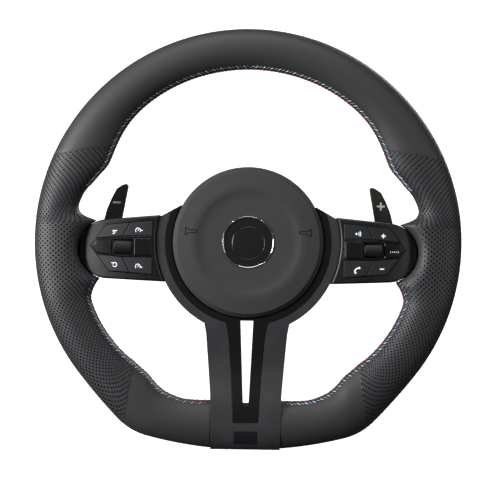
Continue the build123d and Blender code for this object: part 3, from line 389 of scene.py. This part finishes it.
def finish(name, colour, rough, surface=stipple_group, size=0.0006, depth=0.00002, fine=0.5,
           contrast=0.25, spread=0.08, **shader):
    """Material with its own grain, uneven colour and uneven polish; pebble grain also gets painted
    shade darkening its creases.
    """
    made = bpy.data.materials.get(name)
    if made:
        return made
    made = bpy.data.materials.new(name)
    made.use_nodes = True
    made.diffuse_color = (*colour, 1.0)
    tree = made.node_tree
    tree.nodes.clear()
    out = add_node(tree, "ShaderNodeOutputMaterial", (700, 0))
    body = add_node(tree, "ShaderNodeBsdfPrincipled", (400, 0))
    tree.links.new(body.outputs[0], out.inputs[0])
    where = add_node(tree, "ShaderNodeTexCoord", (-800, 0))
    grain = add_node(tree, "ShaderNodeGroup", (-500, -200), node_tree=surface())
    grain.inputs["Scale"].default_value = 1.0 / size
    grain.inputs["Fine"].default_value = fine
    tree.links.new(where.outputs["Object"], grain.inputs["Vector"])
    tone_and_shade_node = add_node(tree, "ShaderNodeGroup", (-200, 100), node_tree=tone_and_crease_shade_group())
    tone_and_shade_node.inputs["Light"].default_value = (*[c * (1 + contrast) for c in colour], 1.0)
    tone_and_shade_node.inputs["Dark"].default_value = (*[c * (1 - contrast) for c in colour], 1.0)
    tone_and_shade_node.inputs["Smooth"].default_value = max(rough - spread, 0.02)
    tone_and_shade_node.inputs["Rough"].default_value = min(rough + spread, 1.0)
    tree.links.new(where.outputs["Object"], tone_and_shade_node.inputs["Vector"])
    # The grain's creases darken the colour: painted shade.
    tree.links.new(grain.outputs["Creases"], tone_and_shade_node.inputs["Creases"])
    tree.links.new(tone_and_shade_node.outputs["Color"], body.inputs["Base Color"])
    tree.links.new(tone_and_shade_node.outputs["Roughness"], body.inputs["Roughness"])
    bump = add_node(tree, "ShaderNodeBump", (100, -300))
    bump.inputs["Strength"].default_value = 1.0
    bump.inputs["Distance"].default_value = depth
    tree.links.new(grain.outputs["Height"], bump.inputs["Height"])
    tree.links.new(bump.outputs[0], body.inputs["Normal"])
    for socket, value in shader.items():
        body.inputs[socket.replace("_", " ")].default_value = value
    return made


def finishes(look):
    """Every finish by its material slot."""
    leather = tuple(look.leather_colour)
    satin = tuple(look.spoke_colour)
    return {
        "rim_leather": finish(
            "rim_leather", leather, 0.43, pebble_group, 0.0011, 0.00006, 0.35, 0.15, 0.06,
        ),
        "grip_leather": finish(
            "grip_leather", leather, 0.42, pebble_group, 0.0008, 0.00004, 0.35, 0.15, 0.06,
        ),
        "rim_foam": finish("foam", (0.03, 0.03, 0.03), 0.9),
        "cast_alloy": finish(
            "cast_alloy", (0.50, 0.51, 0.52), 0.45, size=0.0009, depth=0.00005, Metallic=1.0,
        ),
        "hub_steel": finish(
            "hub_steel", (0.52, 0.52, 0.53), 0.30, brushed_group, 0.0004, 0.00001, Metallic=1.0,
        ),
        "satin_grey": finish("satin_spoke", satin, 0.36, size=0.0003, depth=0.000006, spread=0.04),
        "gloss_black": finish(
            "gloss_black", (0.004, 0.004, 0.0045), 0.07, size=0.02, depth=0.00002, spread=0.02,
            Coat_Weight=1.0, Coat_Roughness=0.03,
        ),
        "bezel_black": finish(
            "bezel_satin", (0.006, 0.0062, 0.007), 0.36, size=0.0003, depth=0.000006,
        ),
        "key_dark": finish("key_soft", (0.011, 0.0125, 0.016), 0.55, size=0.0003, depth=0.000008),
        "roller_black": finish("roller_satin", (0.012, 0.012, 0.013), 0.40, size=0.0003),
        "airbag_grain": finish(
            "airbag_grain", (0.0060, 0.0061, 0.0066), 0.46, pebble_group, 0.0011, 0.00011, 0.5,
            0.3,
        ),
        "emblem_bright": finish(
            "emblem_bright", (0.90, 0.90, 0.91), 0.30, brushed_group, 0.0005, 0.000002,
            spread=0.04, Metallic=1.0,
        ),
        "emblem_dark": finish(
            "emblem_dark", (0.006, 0.006, 0.007), 0.12, size=0.01, depth=0.00001, spread=0.04,
            Coat_Weight=1.0, Coat_Roughness=0.04,
        ),
        "badge_dark": finish(
            "badge_dark", (0.006, 0.006, 0.007), 0.14, size=0.01, depth=0.00001, spread=0.04,
            Coat_Weight=1.0, Coat_Roughness=0.05,
        ),
        "rear_black": finish(
            "rear_grain", (0.016, 0.016, 0.017), 0.60, pebble_group, 0.0007, 0.00004,
        ),
        "paddle_dark": finish(
            "paddle_semi_gloss", (0.042, 0.036, 0.031), 0.30, size=0.0006, depth=0.000006,
            spread=0.05, Coat_Weight=0.3, Coat_Roughness=0.15,
        ),
        # The white marks also glow by emission: painted light that lifts them above their lit
        # colour.
        "mark_white": finish(
            "mark_white", (0.92, 0.92, 0.92), 0.40, size=0.0004, depth=0.000005, contrast=0.04,
            Emission_Color=(1.0, 1.0, 1.0, 1.0), Emission_Strength=0.75,
        ),
        "zinc_steel": finish(
            "zinc_steel", (0.56, 0.57, 0.58), 0.32, brushed_group, 0.0005, 0.00001, Metallic=1.0,
        ),
        "board_green": finish(
            "board_green", (0.02, 0.12, 0.05), 0.35, size=0.0008, depth=0.00001, Coat_Weight=0.3,
        ),
        "carrier_black": finish("carrier_black", (0.018, 0.018, 0.018), 0.55, size=0.0005),
        "housing_metal": finish(
            "housing_black", (0.05, 0.05, 0.055), 0.45, size=0.0007, Metallic=0.3,
        ),
        "inflator_metal": finish(
            "inflator_steel", (0.48, 0.48, 0.49), 0.35, brushed_group, 0.0006, 0.00001,
            Metallic=1.0,
        ),
        "cushion_cloth": finish(
            "cushion_cloth", (0.62, 0.61, 0.57), 0.85, size=0.0007, depth=0.0001,
        ),
        "module_case": finish("module_case", (0.024, 0.024, 0.027), 0.55, size=0.0005),
        "wire_sleeve": finish(
            "wire_sleeve", (0.018, 0.018, 0.018), 0.75, size=0.0012, depth=0.0001,
        ),
        "stitch_pale": finish("thread_pale", (0.74, 0.82, 0.90), 0.70, size=0.0003, depth=0.00006),
        "stitch_slate": finish(
            "thread_slate", (0.20, 0.34, 0.52), 0.70, size=0.0003, depth=0.00006,
        ),
        "stitch_red": finish("thread_red", (0.55, 0.04, 0.06), 0.70, size=0.0003, depth=0.00006),
        # The key symbols also glow by emission: painted light that lifts them above their lit
        # colour.
        "symbol_white": finish(
            "symbol_white", (0.88, 0.90, 0.92), 0.50, size=0.0004, depth=0.000004, contrast=0.04,
            Emission_Color=(0.9, 0.95, 1.0, 1.0), Emission_Strength=0.45,
        ),
    }


# ---- leather ----
TUCK = ((-0.55, -0.0016), (-0.40, -0.0006))   # share of a cell past an end, and its height there
SEAM_SINK = -0.0011      # height of the edges that meet in the seam round the inner edge
SEAM_GROOVE = 0.075      # half of the seam's groove, as a turn round the section
PLAIN_ROWS = 3           # rows without holes beside the seam
NOTCH_MARGIN = 0.0042    # leather without holes round the pod's recess
HOLE_DEEP_MM = 1.1
HOLE_CORNER = 0.29       # cut off each corner of a square hole, as a share of its width
NOTCH_ROLL = 0.011       # width of the leather's bend into the pod's recess
ROLL_FRONT, ROLL_BACK = 0.42, 0.9   # share of its height that the leather keeps at the recess


def leather_length(start, stop, cells_along, cells_around, perforated, look):
    """Sewn tube of leather between two angles of the rim, its edges tucked in."""
    columns = [at for at, _ in TUCK] + list(range(cells_along + 1))
    columns += [cells_along - at for at, _ in reversed(TUCK)]
    edge_sinks = [sink for _, sink in TUCK]
    sinks = edge_sinks + [0.0] * (cells_along + 1) + edge_sinks[::-1]
    bm = bmesh.new()
    bmesh.ops.create_grid(bm, x_segments=len(columns) - 1, y_segments=cells_around + 2, size=1.0)
    for vert in bm.verts:
        column = round((vert.co.x + 1) / 2 * (len(columns) - 1))
        row = round((vert.co.y + 1) / 2 * (cells_around + 2)) - 1
        sink = sinks[column]
        if row < 0 or row > cells_around:
            row = -0.5 if row < 0 else cells_around + 0.5
            sink = min(sink, SEAM_SINK)
        vert.co = (columns[column], row, sink * 1000)
    angles = even_steps(lambda a: rim_point(a, math.pi / 2), start, stop, cells_along)
    middle = (start + stop) / 2
    turns = even_steps(
        lambda t: rim_point(middle, t),
        SEAM_TURN + SEAM_GROOVE, SEAM_TURN + 2 * math.pi - SEAM_GROOVE, cells_around,
    )
    if perforated:
        bm.faces.ensure_lookup_table()
        chosen = []
        for face in bm.faces:
            spot = face.calc_center_median()
            if abs(spot.z) > 1e-4 or not (PLAIN_ROWS < spot.y < cells_around - PLAIN_ROWS):
                continue
            if (math.floor(spot.x) + math.floor(spot.y)) % 2:
                continue
            there = rim_point(between(angles, spot.x), between(turns, spot.y))
            if math.hypot(there.x - NOTCH[0], there.z - NOTCH[1]) > NOTCH[2] + NOTCH_MARGIN:
                chosen.append(face)
        inset = (1.0 - look.hole_size / look.hole_pitch) / 2
        bmesh.ops.inset_individual(bm, faces=chosen, thickness=inset, depth=0.0)
        corners = [vert for face in chosen for vert in face.verts]
        bmesh.ops.bevel(
            bm, geom=corners, offset=(1.0 - 2 * inset) * HOLE_CORNER, offset_type="OFFSET",
            segments=1, profile=0.5, affect="VERTICES", clamp_overlap=False, material=-1,
        )
        floors = [face for face in bm.faces if len(face.verts) == 8]
        pushed = bmesh.ops.extrude_discrete_faces(bm, faces=floors)
        for face in pushed["faces"]:
            for vert in face.verts:
                vert.co.z -= HOLE_DEEP_MM
    for vert in bm.verts:
        x, y, z = vert.co
        vert.co = rim_point(between(angles, x), turn_at(turns, y), z / 1000)
    bmesh.ops.remove_doubles(bm, verts=bm.verts, dist=1e-6)
    return bm


def turn_at(turns, y):
    """Turn round the section for a row; the half rows past both ends meet in the seam."""
    if y < 0:
        return SEAM_TURN + (turns[0] - SEAM_TURN) * (1 + 2 * y)
    if y > len(turns) - 1:
        seam = SEAM_TURN + 2 * math.pi
        return seam - (seam - turns[-1]) * (1 - 2 * (y - len(turns) + 1))
    return between(turns, y)


def cut_notch(bm):
    """Opens the leather round the switch pod and rolls its edge down into the recess."""
    cx, cz, radius = NOTCH

    def away(vert):
        return math.hypot(vert.co.x - cx, vert.co.z - cz) - radius

    gone = [face for face in bm.faces if all(away(vert) < 0 for vert in face.verts)]
    bmesh.ops.delete(bm, geom=gone, context="FACES")
    for vert in bm.verts:
        gap = away(vert)
        if gap > NOTCH_ROLL:
            continue
        if gap < 0:
            scale = radius / (gap + radius)
            vert.co.x = cx + (vert.co.x - cx) * scale
            vert.co.z = cz + (vert.co.z - cz) * scale
            gap = 0.0
        low = ROLL_FRONT if vert.co.y < RIM_Y else ROLL_BACK
        share = low + (1 - low) * math.sqrt(1 - (1 - gap / NOTCH_ROLL) ** 2)
        vert.co.y = RIM_Y + (vert.co.y - RIM_Y) * share
    rim = [
        edge for edge in bm.edges
        if edge.is_boundary and all(abs(away(vert)) < 2e-5 for vert in edge.verts)
    ]
    wall = bmesh.ops.extrude_edge_only(bm, edges=rim)
    for item in wall["geom"]:
        if isinstance(item, bmesh.types.BMVert):
            item.co.y = RIM_Y + (item.co.y - RIM_Y) * 0.05
            item.co.x += (item.co.x - cx) * 0.02
            item.co.z += (item.co.z - cz) * 0.02


def mirrored(bm):
    """The same piece on the other side of the wheel."""
    other = bm.copy()
    bmesh.ops.scale(other, vec=(-1.0, 1.0, 1.0), verts=other.verts)
    bmesh.ops.reverse_faces(other, faces=other.faces)
    return other


# ---- stitching ----
# Each stitch: thread, then share of the pattern and turn from the seam at both of its ends.
STITCHES = (
    ("pale", (0.04, -0.42), (0.46, -0.24)), ("slate", (0.54, -0.42), (0.96, -0.24)),
    ("red", (0.05, -0.06), (0.88, -0.02)),
    ("pale", (0.46, 0.12), (0.04, 0.34)), ("slate", (0.96, 0.12), (0.54, 0.34)),
)
SEWN = ((12.6, 90.0), (-9.5, FOOT + 0.8))     # directions between which the seam is sewn


def stitch(bm, start, stop, thick):
    """One thread laid from hole to hole, as a small pillow of few faces."""
    along = stop - start
    axis = along.normalized()
    turn = axis.to_track_quat("Z", "Y").to_matrix().to_4x4()
    size = Matrix.Diagonal((thick / 2, thick / 2, along.length / 2 + thick * 0.3, 1.0))
    place = Matrix.Translation((start + stop) / 2) @ turn @ size
    bmesh.ops.create_uvsphere(bm, u_segments=6, v_segments=5, radius=1.0, matrix=place)


def inner_run(first, last, pitch):
    """Angles at which stitches stand along the rim's inner edge."""
    length = 0.0
    here = rim_point(first, SEAM_TURN)
    steps = 800
    for step in range(1, steps + 1):
        there = rim_point(first + (last - first) * step / steps, SEAM_TURN)
        length += (there - here).length
        here = there
    return even_steps(lambda a: rim_point(a, SEAM_TURN), first, last, round(length / pitch))


# ---- symbols ----
def bar(bm, x0, z0, x1, z1, wide):
    """Straight stroke with square ends."""
    run = Vector((x1 - x0, 0.0, z1 - z0))
    turn = Matrix.Rotation(-math.atan2(run.z, run.x), 4, "Y")
    size = Matrix.Diagonal((run.length, wide, 1.0, 1.0))
    lie = Matrix.Rotation(math.pi / 2, 4, "X")
    place = Matrix.Translation(((x0 + x1) / 2, 0.0, (z0 + z1) / 2)) @ turn @ lie @ size
    parts = max(int(run.length / 0.0012), 1)
    bmesh.ops.create_grid(bm, x_segments=parts, y_segments=1, size=0.5, matrix=place)


def arc(bm, x, z, radius, wide, first, last, steps=10):
    """Curved stroke about a centre, between two directions."""
    cx, cz = heading(first)
    low = bm.verts.new((x + cx * (radius - wide / 2), 0.0, z + cz * (radius - wide / 2)))
    high = bm.verts.new((x + cx * (radius + wide / 2), 0.0, z + cz * (radius + wide / 2)))
    edge = bm.edges.new((low, high))
    bmesh.ops.spin(
        bm, geom=[low, high, edge], cent=(x, 0.0, z), axis=(0.0, -1.0, 0.0),
        angle=math.radians(last - first), steps=steps, use_merge=last - first >= 360.0,
    )


def dot(bm, x, z, radius):
    place = Matrix.Translation((x, 0.0, z)) @ Matrix.Rotation(math.pi / 2, 4, "X")
    bmesh.ops.create_circle(bm, cap_ends=True, segments=12, radius=radius, matrix=place)


def plus_sign(bm, x, z):
    bar(bm, x - 0.0019, z, x + 0.0019, z, 0.0010)
    bar(bm, x, z + 0.0005, x, z + 0.0019, 0.0010)
    bar(bm, x, z - 0.0019, x, z - 0.0005, 0.0010)


def minus_sign(bm, x, z):
    bar(bm, x - 0.0019, z, x + 0.0019, z, 0.0010)


def gauge_sign(bm, x, z, up):
    """Dial with a pointer, and a small arrow beside it."""
    arc(bm, x, z, 0.0021, 0.00055, -40, 220, 14)
    bar(bm, x - 0.0003, z - 0.0002, x + 0.0010, z + 0.0011, 0.0005)
    tip = z + (0.0006 if up else -0.0010)
    bar(bm, x + 0.0025, tip - (0.0009 if up else -0.0009), x + 0.0032, tip, 0.0005)
    bar(bm, x + 0.0032, tip, x + 0.0039, tip - (0.0009 if up else -0.0009), 0.0005)


def resume_sign(bm, x, z):
    """Open ring with a pointer at one end."""
    arc(bm, x, z, 0.0018, 0.0006, -150, 120, 14)
    bar(bm, x - 0.0029, z + 0.0015, x - 0.0008, z + 0.0016, 0.0006)
    bar(bm, x - 0.0009, z + 0.0016, x - 0.0014, z - 0.0001, 0.0006)


def level_sign(bm, x, z):
    """Three short lines of different length."""
    bar(bm, x - 0.0020, z + 0.0013, x + 0.0020, z + 0.0013, 0.0006)
    bar(bm, x - 0.0020, z, x + 0.0009, z, 0.0006)
    bar(bm, x - 0.0020, z - 0.0013, x - 0.0002, z - 0.0013, 0.0006)


def handset_sign(bm, x, z):
    """Curved telephone handset."""
    arc(bm, x + 0.0022, z - 0.0020, 0.0042, 0.0011, 98, 172, 10)
    bar(bm, x - 0.0016, z - 0.0027, x - 0.0008, z - 0.0014, 0.0017)
    bar(bm, x + 0.0015, z + 0.0018, x + 0.0028, z + 0.0024, 0.0017)


def voice_sign(bm, x, z):
    """Dot with sound spreading from it."""
    dot(bm, x - 0.0022, z, 0.0009)
    arc(bm, x - 0.0022, z, 0.0023, 0.0006, -38, 38, 6)
    arc(bm, x - 0.0022, z, 0.0037, 0.0006, -38, 38, 8)


def list_sign(bm, x, z):
    """Three dots in a row between two short lines."""
    for step in (-1, 0, 1):
        dot(bm, x + step * 0.0016, z, 0.00045)
    bar(bm, x - 0.0034, z - 0.0008, x - 0.0034, z + 0.0008, 0.0004)
    bar(bm, x + 0.0034, z - 0.0008, x + 0.0034, z + 0.0008, 0.0004)


def horn_sign(bm, x, z, side):
    """Outline of a bugle."""
    tail, throat, bell = x - side * 0.0050, x + side * 0.0018, x + side * 0.0050
    bar(bm, tail, z - 0.0010, tail, z + 0.0010, 0.0006)
    bar(bm, bell, z - 0.0034, bell, z + 0.0034, 0.0006)
    for up in (1, -1):
        bar(bm, tail, z + up * 0.0010, throat, z + up * 0.0012, 0.0006)
        bar(bm, throat, z + up * 0.0012, bell, z + up * 0.0032, 0.0006)


KEY_SYMBOLS = [
    ("left_key_upper_outer", level_sign, (-0.1148, 0.0072), ()),
    ("left_key_upper_inner", gauge_sign, (-0.0948, 0.0088), (True,)),
    ("left_key_lower_outer", resume_sign, (-0.1146, -0.0208), ()),
    ("left_key_lower_inner", gauge_sign, (-0.0945, -0.0222), (False,)),
    ("right_key_upper_inner", voice_sign, (0.0952, 0.0088), ()),
    ("right_key_upper_outer", plus_sign, (0.1164, 0.0072), ()),
    ("right_key_lower_inner", handset_sign, (0.0938, -0.0226), ()),
    ("right_key_lower_outer", minus_sign, (0.1156, -0.0212), ()),
    ("right_key_gloss_outer", list_sign, (0.1262, -0.0064), ()),
]
BODY_OF = {
    node: body
    for body, nodes in frame["record"]["behaviour"]["bodies"].items() for node in nodes
}


HORN_MARK = (0.049, 0.009)      # X and Z of the right one's centre


def laid_on(bm, node, proud, sunk):
    """Lays a flat drawing on a node's front, with a little thickness."""
    source = bmesh.new()
    source.from_mesh(NODES[node].data)
    tree = BVHTree.FromBMesh(source)
    source.free()
    flat = list(bm.faces)
    grown = bmesh.ops.extrude_face_region(bm, geom=flat)
    front = [item for item in grown["geom"] if isinstance(item, bmesh.types.BMVert)]
    bmesh.ops.delete(bm, geom=[f for f in flat if f.is_valid], context="FACES_ONLY")
    front_set = set(front)
    for vert in bm.verts:
        hit = tree.ray_cast(Vector((vert.co.x, -0.2, vert.co.z)), Vector((0.0, 1.0, 0.0)))[0]
        if hit is None:
            raise RuntimeError(f"a symbol reaches past {node}")
        vert.co.y = hit.y - proud if vert in front_set else hit.y + sunk


# ---- settings ----
class SportWheelSettings(bpy.types.PropertyGroup):
    """Sizes and colours of the wheel's finish"""

    hole_size: bpy.props.FloatProperty(
        name="Hole size", description="Width of one perforation in the grips' leather",
        default=0.00125, min=0.0006, max=0.0018, unit="LENGTH", precision=5,
    )
    hole_pitch: bpy.props.FloatProperty(
        name="Hole pitch", description="Half of the distance between two perforations in a row",
        default=0.0020, min=0.0018, max=0.0040, unit="LENGTH", precision=5,
    )
    stitch_pitch: bpy.props.FloatProperty(
        name="Stitch pitch", description="Distance along the seam after which stitches repeat",
        default=0.0066, min=0.004, max=0.012, unit="LENGTH", precision=5,
    )
    thread: bpy.props.FloatProperty(
        name="Thread", description="Thickness of the sewing thread",
        default=0.0008, min=0.0004, max=0.0015, unit="LENGTH", precision=5,
    )
    edge: bpy.props.FloatProperty(
        name="Edge", description="Width of the rounding on the trims' edges",
        default=0.00035, min=0.0001, max=0.0008, unit="LENGTH", precision=5,
    )
    leather_colour: bpy.props.FloatVectorProperty(
        name="Leather", description="Colour of the rim's leather", subtype="COLOR",
        default=(0.0048, 0.0049, 0.0054), min=0.0, max=1.0,
    )
    spoke_colour: bpy.props.FloatVectorProperty(
        name="Spoke", description="Colour of the satin lower spoke", subtype="COLOR",
        default=(0.042, 0.043, 0.046), min=0.0, max=1.0,
    )


def settings():
    return bpy.context.scene.sport_wheel


class SPORTWHEEL_OT_rim_leather(bpy.types.Operator):
    """Sew the smooth leather of the rim's top and bottom"""

    bl_idname = "sport_wheel.rim_leather"
    bl_label = "Rim Leather"

    def execute(self, context):
        look = settings()
        leather = finishes(look)["rim_leather"]
        top = leather_length(UPPER_SEAM, 180.0 - UPPER_SEAM, 132, 48, False, look)
        dress(to_piece(top, "rim_leather_top"), leather,
              stands_for=("leather_top", "rim_foam"))
        bottom = leather_length(LOWER_SEAM, FOOT, 40, 48, False, look)
        other = mirrored(bottom)
        dress(to_piece(bottom, "rim_leather_bottom_right"), leather,
              stands_for=("leather_bottom_right",))
        dress(to_piece(other, "rim_leather_bottom_left"), leather,
              stands_for=("leather_bottom_left",))
        return {"FINISHED"}


class SPORTWHEEL_OT_grips(bpy.types.Operator):
    """Sew the perforated leather of the two grips"""

    bl_idname = "sport_wheel.grips"
    bl_label = "Perforated Grips"

    def execute(self, context):
        look = settings()
        leather = finishes(look)["grip_leather"]
        right = leather_length(UPPER_SEAM, LOWER_SEAM, 116, 58, True, look)
        cut_notch(right)
        left = mirrored(right)
        dress(to_piece(right, "grip_leather_right"), leather,
              stands_for=("leather_right_grip",))
        dress(to_piece(left, "grip_leather_left"), leather,
              stands_for=("leather_left_grip",))
        return {"FINISHED"}


class SPORTWHEEL_OT_stitching(bpy.types.Operator):
    """Sew the three threads round the rim's inner edge"""

    bl_idname = "sport_wheel.stitching"
    bl_label = "Stitching"

    def execute(self, context):
        look = settings()
        finish_of = finishes(look)
        threads = {name: bmesh.new() for name in ("pale", "slate", "red")}
        lift = look.thread * 0.25
        for first, last in SEWN:
            spots = inner_run(first, last, look.stitch_pitch)
            for here, after in zip(spots, spots[1:]):
                for name, *ends in STITCHES:
                    start, stop = [
                        rim_point(here + (after - here) * share, SEAM_TURN + turn, lift)
                        for share, turn in ends
                    ]
                    stitch(threads[name], start, stop, look.thread)
        for colour, bm in threads.items():
            slot = "stitch_" + colour
            twin = bmesh.ops.duplicate(bm, geom=bm.verts[:] + bm.edges[:] + bm.faces[:])
            moved = [item for item in twin["geom"] if isinstance(item, bmesh.types.BMVert)]
            turned = [item for item in twin["geom"] if isinstance(item, bmesh.types.BMFace)]
            bmesh.ops.scale(bm, vec=(-1.0, 1.0, 1.0), verts=moved)
            bmesh.ops.reverse_faces(bm, faces=turned)
            piece = to_piece(bm, "stitches_" + colour, smooth=80.0, turn_out=False)
            dress(piece, finish_of[slot])
        return {"FINISHED"}


class SPORTWHEEL_OT_trims(bpy.types.Operator):
    """Round the edges of the spokes, covers, keys and paddles"""

    bl_idname = "sport_wheel.trims"
    bl_label = "Trims"

    def execute(self, context):
        look = settings()
        finish_of = finishes(look)
        for node in TRIMS:
            piece = refined(node, look.edge)
            dress(piece, finish_of[SLOT_OF[node]], BODY_OF[node], (node,))
        return {"FINISHED"}


class SPORTWHEEL_OT_symbols(bpy.types.Operator):
    """Lay the symbols on the keys and the horn marks on the airbag cover"""

    bl_idname = "sport_wheel.symbols"
    bl_label = "Symbols"

    def execute(self, context):
        finish_of = finishes(settings())
        for node, draw, spot, extra in KEY_SYMBOLS:
            bm = bmesh.new()
            draw(bm, *spot, *extra)
            laid_on(bm, node, 0.00006, 0.0001)
            piece = to_piece(bm, node.replace("key", "symbol"), smooth=30.0)
            # The symbols' white finish glows by emission: painted light.
            dress(piece, finish_of["symbol_white"], BODY_OF[node])
        for side, name in ((1, "right"), (-1, "left")):
            bm = bmesh.new()
            horn_sign(bm, side * HORN_MARK[0], HORN_MARK[1], side)
            laid_on(bm, "airbag_cover", 0.00015, 0.0001)
            piece = to_piece(bm, f"{name}_horn_mark", smooth=30.0)
            dress(piece, finish_of["gloss_black"], "airbag_module")
        return {"FINISHED"}


class SPORTWHEEL_OT_inner_parts(bpy.types.Operator):
    """Give every part that keeps its CAD shape its finish"""

    bl_idname = "sport_wheel.inner_parts"
    bl_label = "Inner Parts"

    def execute(self, context):
        finish_of = finishes(settings())
        for node, piece in NODES.items():
            piece.data.materials.clear()
            piece.data.materials.append(finish_of[SLOT_OF[node]])
        bm = bmesh.new()
        bm.from_mesh(NODES["horn_springs"].data)
        springs = to_piece(bm, "springs_under_airbag", smooth=40.0, turn_out=False)
        dress(springs, finish_of["zinc_steel"], "wheel", ("horn_springs",))
        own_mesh(springs)
        return {"FINISHED"}


class SPORTWHEEL_OT_stage(bpy.types.Operator):
    """Set up the floor, the backdrop, the lights and the camera"""

    bl_idname = "sport_wheel.stage"
    bl_label = "Stage"

    def execute(self, context):
        scene = context.scene
        white = finish("stage_white", (0.86, 0.86, 0.86), 0.9, size=0.01, depth=0.0, contrast=0.0)
        bright = finish("backdrop_white", (0.8, 0.8, 0.8), 0.9, size=0.01, depth=0.0, contrast=0.0,
                        Emission_Color=(1.0, 1.0, 1.0, 1.0), Emission_Strength=0.9)
        bm = bmesh.new()
        ground = Matrix.Translation((0, 0, FLOOR_Z))
        bmesh.ops.create_grid(bm, x_segments=1, y_segments=1, size=4.0, matrix=ground)
        floor = to_piece(bm, "floor", turn_out=False)
        floor.data.materials.append(white)
        floor.visible_diffuse = floor.visible_glossy = False
        bm = bmesh.new()
        stand = Matrix.Translation((0.0, WALL_Y, 2.0)) @ Matrix.Rotation(math.pi / 2, 4, "X")
        bmesh.ops.create_grid(bm, x_segments=1, y_segments=1, size=4.0, matrix=stand)
        wall = to_piece(bm, "backdrop", turn_out=False)
        wall.data.materials.append(bright)
        wall.visible_diffuse = wall.visible_glossy = False
        world = bpy.data.worlds.new("soft_room")
        world.use_nodes = True
        world.node_tree.nodes["Background"].inputs["Color"].default_value = (1.0, 1.0, 1.0, 1.0)
        world.node_tree.nodes["Background"].inputs["Strength"].default_value = 0.05
        scene.world = world
        scene.view_settings.view_transform = "Standard"
        for name, at, wide, high, power in LIGHTS:
            lamp = bpy.data.lights.new(name, "AREA")
            lamp.shape = "RECTANGLE"
            lamp.size, lamp.size_y, lamp.energy = wide, high, power
            holder = bpy.data.objects.new(name, lamp)
            holder.location = at
            holder.rotation_euler = (-Vector(at)).to_track_quat("-Z", "Y").to_euler()
            scene.collection.objects.link(holder)
        view = bpy.data.cameras.new("camera")
        view.sensor_width = SENSOR
        view.lens = SENSOR * (RIM_Y - CAMERA_AT[1]) / VIEW_WIDE
        holder = bpy.data.objects.new("camera", view)
        holder.location = CAMERA_AT
        holder.rotation_euler = (math.pi / 2, math.radians(CAMERA_ROLL), 0.0)
        scene.collection.objects.link(holder)
        scene.camera = holder
        return {"FINISHED"}


TRIMS = [
    "lower_spoke_cover", "gloss_spoke_insert", "badge_plate", "airbag_cover", "emblem_ring",
    "emblem_disc", "rear_cover", "left_paddle", "right_paddle", "left_paddle_mark",
    "right_paddle_mark", "left_spoke_bezel", "right_spoke_bezel", "left_gloss_strip",
    "right_gloss_strip", "left_roller", "right_roller",
] + [node for node in NODES if "_key_" in node]
# Name, place, width, height and power; all face the origin.
LIGHTS = [
    ("key_left", (-1.4, -0.80, 0.22), 0.6, 0.8, 38.0),
    ("overhead", (-0.1, -0.45, 1.1), 1.1, 0.6, 7.0),
    ("fill_right", (1.2, -0.8, 0.15), 0.4, 0.8, 4.0),
    ("rear_fill", (0.9, 1.3, 0.9), 0.8, 0.8, 16.0),
    ("glint_left", (-0.42, -1.3, 0.62), 0.02, 0.12, 1.0),
    ("glint_right", (0.40, -1.3, 0.66), 0.02, 0.12, 1.0),
]
CAMERA_AT = (0.0017, -1.6, -0.0065)
VIEW_WIDE = 0.4333        # width seen at the rim's middle
SENSOR = 36.0
FLOOR_Z, WALL_Y = -0.5, 1.6
CAMERA_ROLL = -0.9
STEPS = [
    SPORTWHEEL_OT_inner_parts, SPORTWHEEL_OT_rim_leather, SPORTWHEEL_OT_grips,
    SPORTWHEEL_OT_stitching, SPORTWHEEL_OT_trims, SPORTWHEEL_OT_symbols, SPORTWHEEL_OT_stage,
]


class SPORTWHEEL_PT_panel(bpy.types.Panel):
    """Lists the wheel's settings and its building steps"""

    bl_idname = "SPORTWHEEL_PT_panel"
    bl_label = "Sport Steering Wheel"
    bl_space_type = "VIEW_3D"
    bl_region_type = "UI"
    bl_category = "Wheel"

    def draw(self, context):
        for name in SportWheelSettings.__annotations__:
            self.layout.prop(settings(), name)
        for step in STEPS:
            self.layout.operator(step.bl_idname)


CLASSES = [SportWheelSettings, *STEPS, SPORTWHEEL_PT_panel]


def register():
    for item in CLASSES:
        bpy.utils.register_class(item)
    bpy.types.Scene.sport_wheel = bpy.props.PointerProperty(type=SportWheelSettings)


def unregister():
    del bpy.types.Scene.sport_wheel
    for item in reversed(CLASSES):
        bpy.utils.unregister_class(item)


def main():
    register()
    bpy.ops.sport_wheel.inner_parts()
    bpy.ops.sport_wheel.rim_leather()
    bpy.ops.sport_wheel.grips()
    bpy.ops.sport_wheel.stitching()
    bpy.ops.sport_wheel.trims()
    bpy.ops.sport_wheel.symbols()
    bpy.ops.sport_wheel.stage()


if __name__ == "__main__":
    main()
